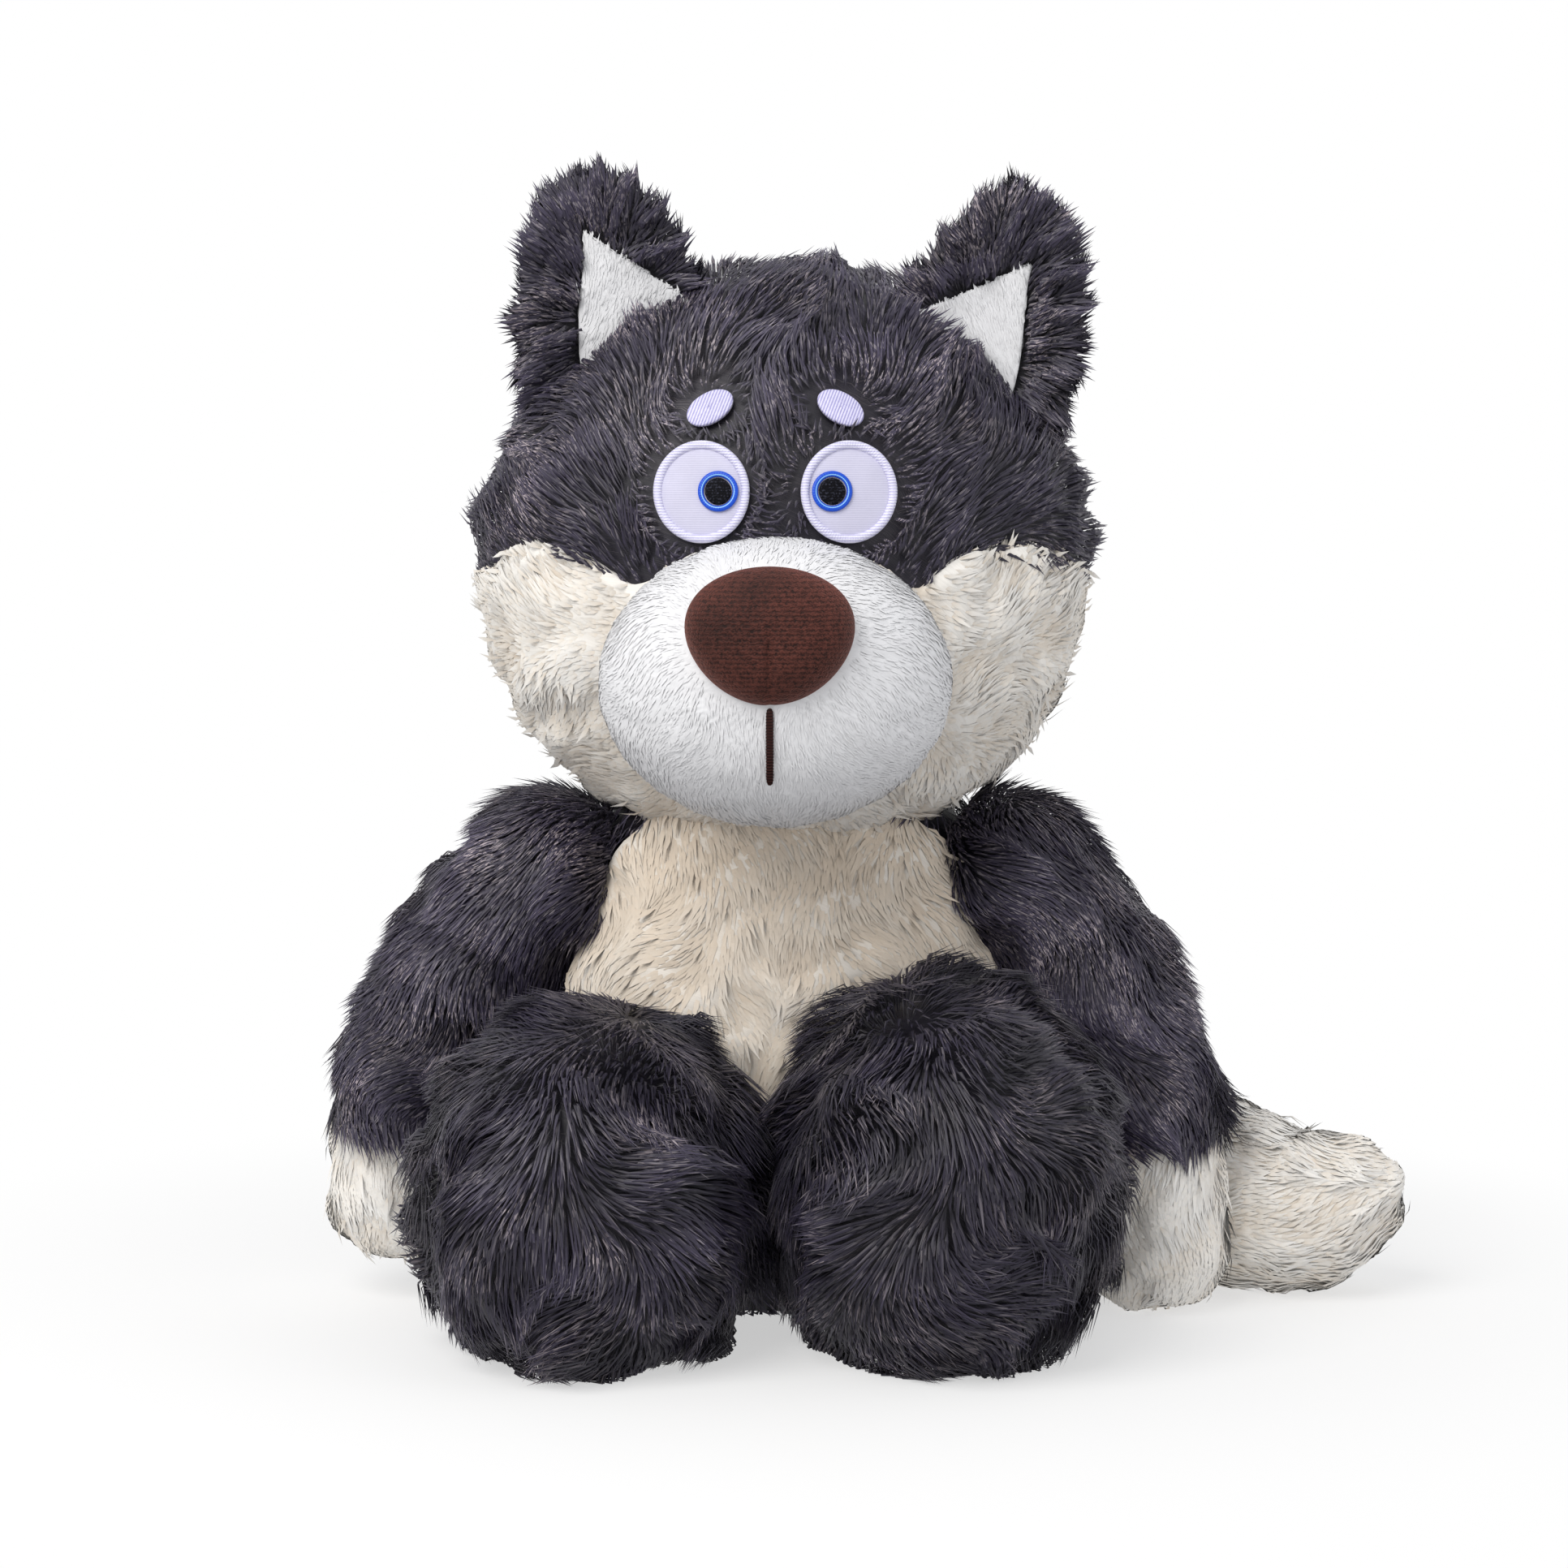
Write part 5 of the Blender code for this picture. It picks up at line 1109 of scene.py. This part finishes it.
def makeMouth():
    # One satin row down the muzzle: an oval section, raised at each thread, with round ends
    size, muzzle, rows, columns = mouthSize, muzzleSize, mouthSize["rows"], mouthSize["columns"]
    t = np.linspace(0.0, 1.0, rows)[:, None]
    level = noseSize["rise"] - noseSize["halfHeight"] - seamGap - size["length"] * t
    share = np.clip(1.0 - (np.abs(level) / muzzle["halfHeight"]) ** (2.0 / muzzle["bluntness"]), 0.0, 1.0)
    centre = muzzleMiddle / mm + stack(0.0 * level, -muzzle["reach"] * np.sqrt(share), level)
    centre[..., 0] = noseMiddle[0] / mm
    travel = unit(np.gradient(centre[:, 0], axis=0))[:, None]
    outward = unit(np.cross(travel, np.array([1.0, 0.0, 0.0])))
    outward = outward * -np.sign(outward[..., 1:2])
    ends = np.sqrt(np.clip(1.0 - np.abs(2.0 * t - 1.0) ** size["endSharpness"], 0.0, 1.0))
    angle = np.linspace(0.0, 2.0 * math.pi, columns, endpoint=False)[None, :]
    thread = size["relief"] * np.abs(np.sin(math.pi * size["threads"] * (t + 0.01 * np.cos(angle))))
    wide = (size["width"] / 2.0 - size["sink"] + thread) * ends
    thick = (size["thickness"] / 2.0 - size["sink"] + thread) * ends
    middle = centre + outward * (seamGap + size["thickness"] / 2.0)
    rings = middle + stack(wide * np.cos(angle), 0.0, 0.0) + outward * (thick * np.sin(angle))[..., None]
    ringAt = lambda u, v: rings[np.rint(v * (rows - 1)).astype(int),
                                np.rint(u * columns).astype(int) % columns]
    points, triangles = roundGrid(ringAt, rows, columns)
    meshPiece("mouth_satin_row", "mouth_stitch", points * mm, triangles, mouthThread)


def facePad(name, node, cloth, out, rise, wide, high, thickness, under, tilt=0.0, relief=0.0, threads=1.0):
    # An oval pad with a flat back and a rounded front that follows the face, raised a little at each thread
    rows, columns = 16, 60
    turn = np.linspace(0.0, math.pi / 2.0, rows)[:, None]
    angle = np.linspace(0.0, 2.0 * math.pi, columns + 1)[None, :]
    share = np.sin(turn) * np.ones_like(angle)
    across, above = wide * share * np.cos(angle), high * share * np.sin(angle)
    thread = relief * np.abs(np.sin(math.pi * across / threads))
    proud = under + thickness * (0.35 + 0.65 * np.cos(turn) ** 0.5) + thread * np.cos(turn) ** 0.3
    x = out + across * math.cos(tilt) - above * math.sin(tilt)
    z = rise + across * math.sin(tilt) + above * math.cos(tilt)
    meshPiece(name, node, *discPad(facePoint(x, z, proud + 0.0 * x), facePoint(x, z, under + 0.0 * x)), cloth)


def faceRing(name, node, cloth, out, rise, wide, high, band, thickness, under, threads, relief):
    # A round of satin stitch: an oval section carried round an oval, raised at each of its slanting threads
    columns, sections = threads * 4, 12
    around = (np.arange(columns) / columns * 2.0 * math.pi)[:, None]
    section = (np.arange(sections) / sections * 2.0 * math.pi)[None, :]
    ridge = relief * np.abs(np.sin(threads * around / 2.0 + 0.6 * np.cos(section)))
    ridge = ridge * np.clip(np.sin(section) + 0.3, 0.0, 1.0)
    inset = band / 2.0 * (1.0 - np.cos(section))
    proud = under + thickness / 2.0 + (thickness / 2.0) * np.sin(section) + ridge
    points = facePoint(out + np.cos(around) * (wide - inset), rise + np.sin(around) * (high - inset), proud)
    number = np.arange(columns * sections).reshape(columns, sections)
    beside = np.roll(number, -1, axis=0)
    triangles = squareTriangles(number, beside, np.roll(number, -1, axis=1), np.roll(beside, -1, axis=1))
    points = points.reshape(-1, 3)
    uvs = np.broadcast_arrays(around / (2.0 * math.pi), 0.5 - 0.5 * np.cos(section))
    meshPiece(name, node, points, facedOut(points, triangles), cloth, np.stack(uvs, axis=2).reshape(-1, 2))


def makeEyes():
    size, brow, blue = eyeSize, browSize, irisThread()
    innerWidth = size["halfWidth"] - size["rimWidth"] - seamGap
    innerHeight = size["halfHeight"] - size["rimWidth"] - seamGap
    pupil = size["irisOuter"] - size["irisWidth"] - seamGap
    onCloth = seamGap + size["thickness"] + 0.1
    for name, side in sides:
        out = side * size["out"]
        iris = out - side * (innerWidth - size["irisOuter"] - size["irisMargin"])
        facePad(name + "_eye_disc", name + "_eye_cloth", eyeCloth, out, size["rise"],
                innerWidth + size["tuck"], innerHeight + size["tuck"], size["thickness"], seamGap)
        faceRing(name + "_eye_satin_rim", name + "_eye_rim", rimThread, out, size["rise"], size["halfWidth"],
                 size["halfHeight"], size["rimWidth"], size["rimThickness"], seamGap, 110, 0.22)
        faceRing(name + "_blue_ring", name + "_iris_ring", blue, iris, size["rise"], size["irisOuter"],
                 size["irisOuter"], size["irisWidth"], size["irisThickness"], onCloth, 44, 0.12)
        facePad(name + "_black_disc", name + "_pupil", pupilThread, iris, size["rise"], pupil, pupil,
                size["irisThickness"], onCloth)
        facePad(name + "_brow_satin", name + "_brow", browThread, side * brow["out"], brow["rise"],
                brow["halfLength"], brow["halfHeight"], brow["thickness"], seamGap,
                -side * math.radians(brow["tilt"]), 0.25, 0.9)


meshPiece("nose_pad", "nose", *roundGrid(noseAt, 70, 96), noseCloth, fill=0.9)
makeMouth()
makeEyes()
print("face made")


# Floor, lamps and camera

stageLook = {"floor": (0.98, 0.98, 0.98), "floorReach": 6.0, "backdrop": (1.0, 1.0, 1.0), "glow": 0.6,
             "lifted": 0.55, "liftFrom": 0.2, "liftTo": 0.42, "world": 0.6, "worldColour": (0.97, 0.98, 1.0),
             "cameraDistance": 1316.0, "elevation": 4.5, "aimHeight": 184.0, "lens": 85.0, "sensor": 36.0}
lamps = {"key": {"place": (-0.75, -1.15, 1.35), "aim": (0.0, 0.0, 0.18), "width": 1.3, "power": 22.0,
                 "colour": (1.0, 0.985, 0.96)},
         "fill": {"place": (1.3, -1.0, 0.7), "aim": (0.0, 0.0, 0.2), "width": 1.2, "power": 2.5,
                  "colour": (0.95, 0.97, 1.0)}}


def makeFloor():
    # A pale floor that keeps the shadow beside the toy and fades to the plain backdrop further off
    look = stageLook
    reach = look["floorReach"]
    mesh = bpy.data.meshes.new("floor")
    corners = [(-reach, -reach, 0.0), (reach, -reach, 0.0), (reach, reach, 0.0), (-reach, reach, 0.0)]
    mesh.from_pydata(corners, [], [(0, 1, 2, 3)])
    floor = bpy.data.objects.new("floor", mesh)
    bpy.context.scene.collection.objects.link(floor)
    made, tree, shader = nodesOf("pale_floor", 0.9, 0.0)
    setSockets(tree, shader, {"Base Color": (*look["floor"], 1.0)})
    rays = tree.nodes.new("ShaderNodeLightPath")
    strength = addNode(tree, "ShaderNodeMapRange", {"Value": rays.outputs["Is Camera Ray"],
                                                    "To Min": look["glow"]})
    glow = addNode(tree, "ShaderNodeEmission", {"Color": (*look["backdrop"], 1.0),
                                                "Strength": strength.outputs["Result"]})
    place = tree.nodes.new("ShaderNodeTexCoord").outputs["Object"]
    length = addNode(tree, "ShaderNodeVectorMath", {0: place})
    length.operation = "LENGTH"
    far = addNode(tree, "ShaderNodeMapRange", {"Value": length.outputs["Value"], "From Min": look["liftFrom"],
                                               "From Max": look["liftTo"], "To Min": look["lifted"]})
    far.interpolation_type = "SMOOTHSTEP"
    both = addNode(tree, "ShaderNodeMixShader", {0: far.outputs["Result"], 1: shader.outputs[0],
                                                 2: glow.outputs[0]})
    setSockets(tree, tree.nodes["Material Output"], {"Surface": both.outputs[0]})
    mesh.materials.append(made)


def makeWorld():
    # Soft light from all round, in front of a plain white backdrop
    world = bpy.data.worlds.new("studio")
    bpy.context.scene.world = world
    world.use_nodes = True
    tree = world.node_tree
    rays = tree.nodes.new("ShaderNodeLightPath")
    seen = combined(tree, "MAXIMUM", rays.outputs["Is Camera Ray"], rays.outputs["Is Glossy Ray"])
    seen = combined(tree, "MAXIMUM", seen, rays.outputs["Is Transmission Ray"])
    colour = mixed(tree, seen, stageLook["worldColour"], stageLook["backdrop"])
    strength = addNode(tree, "ShaderNodeMapRange", {"Value": seen, "To Min": stageLook["world"]})
    setSockets(tree, tree.nodes["Background"], {"Color": colour, "Strength": strength.outputs["Result"]})


def addLamp(name, lamp):
    # a round lamp, turned to what it lights
    data = bpy.data.lights.new(name, "AREA")
    data.shape = "DISK"
    data.size = lamp["width"]
    data.energy = lamp["power"]
    data.color = lamp["colour"]
    placed = bpy.data.objects.new(name, data)
    bpy.context.scene.collection.objects.link(placed)
    direction = unit(np.array(lamp["aim"]) - np.array(lamp["place"]))
    placed.location = lamp["place"]
    placed.rotation_euler = (math.acos(-direction[2]), 0.0, math.atan2(direction[0], -direction[1]) + math.pi)


def makeCamera():
    look = stageLook
    tilt = math.radians(look["elevation"])
    data = bpy.data.cameras.new("camera")
    data.lens = look["lens"]
    data.sensor_width = look["sensor"]
    camera = bpy.data.objects.new("camera", data)
    bpy.context.scene.collection.objects.link(camera)
    camera.location = (0.0, -look["cameraDistance"] * mm * math.cos(tilt),
                       (look["aimHeight"] + look["cameraDistance"] * math.sin(tilt)) * mm)
    camera.rotation_euler = (math.pi / 2.0 - tilt, 0.0, 0.0)
    bpy.context.scene.camera = camera


makeFloor()
makeWorld()
for name, lamp in lamps.items():
    addLamp(name, lamp)
makeCamera()
bpy.context.scene.view_settings.view_transform = "Standard"
print("stage made")
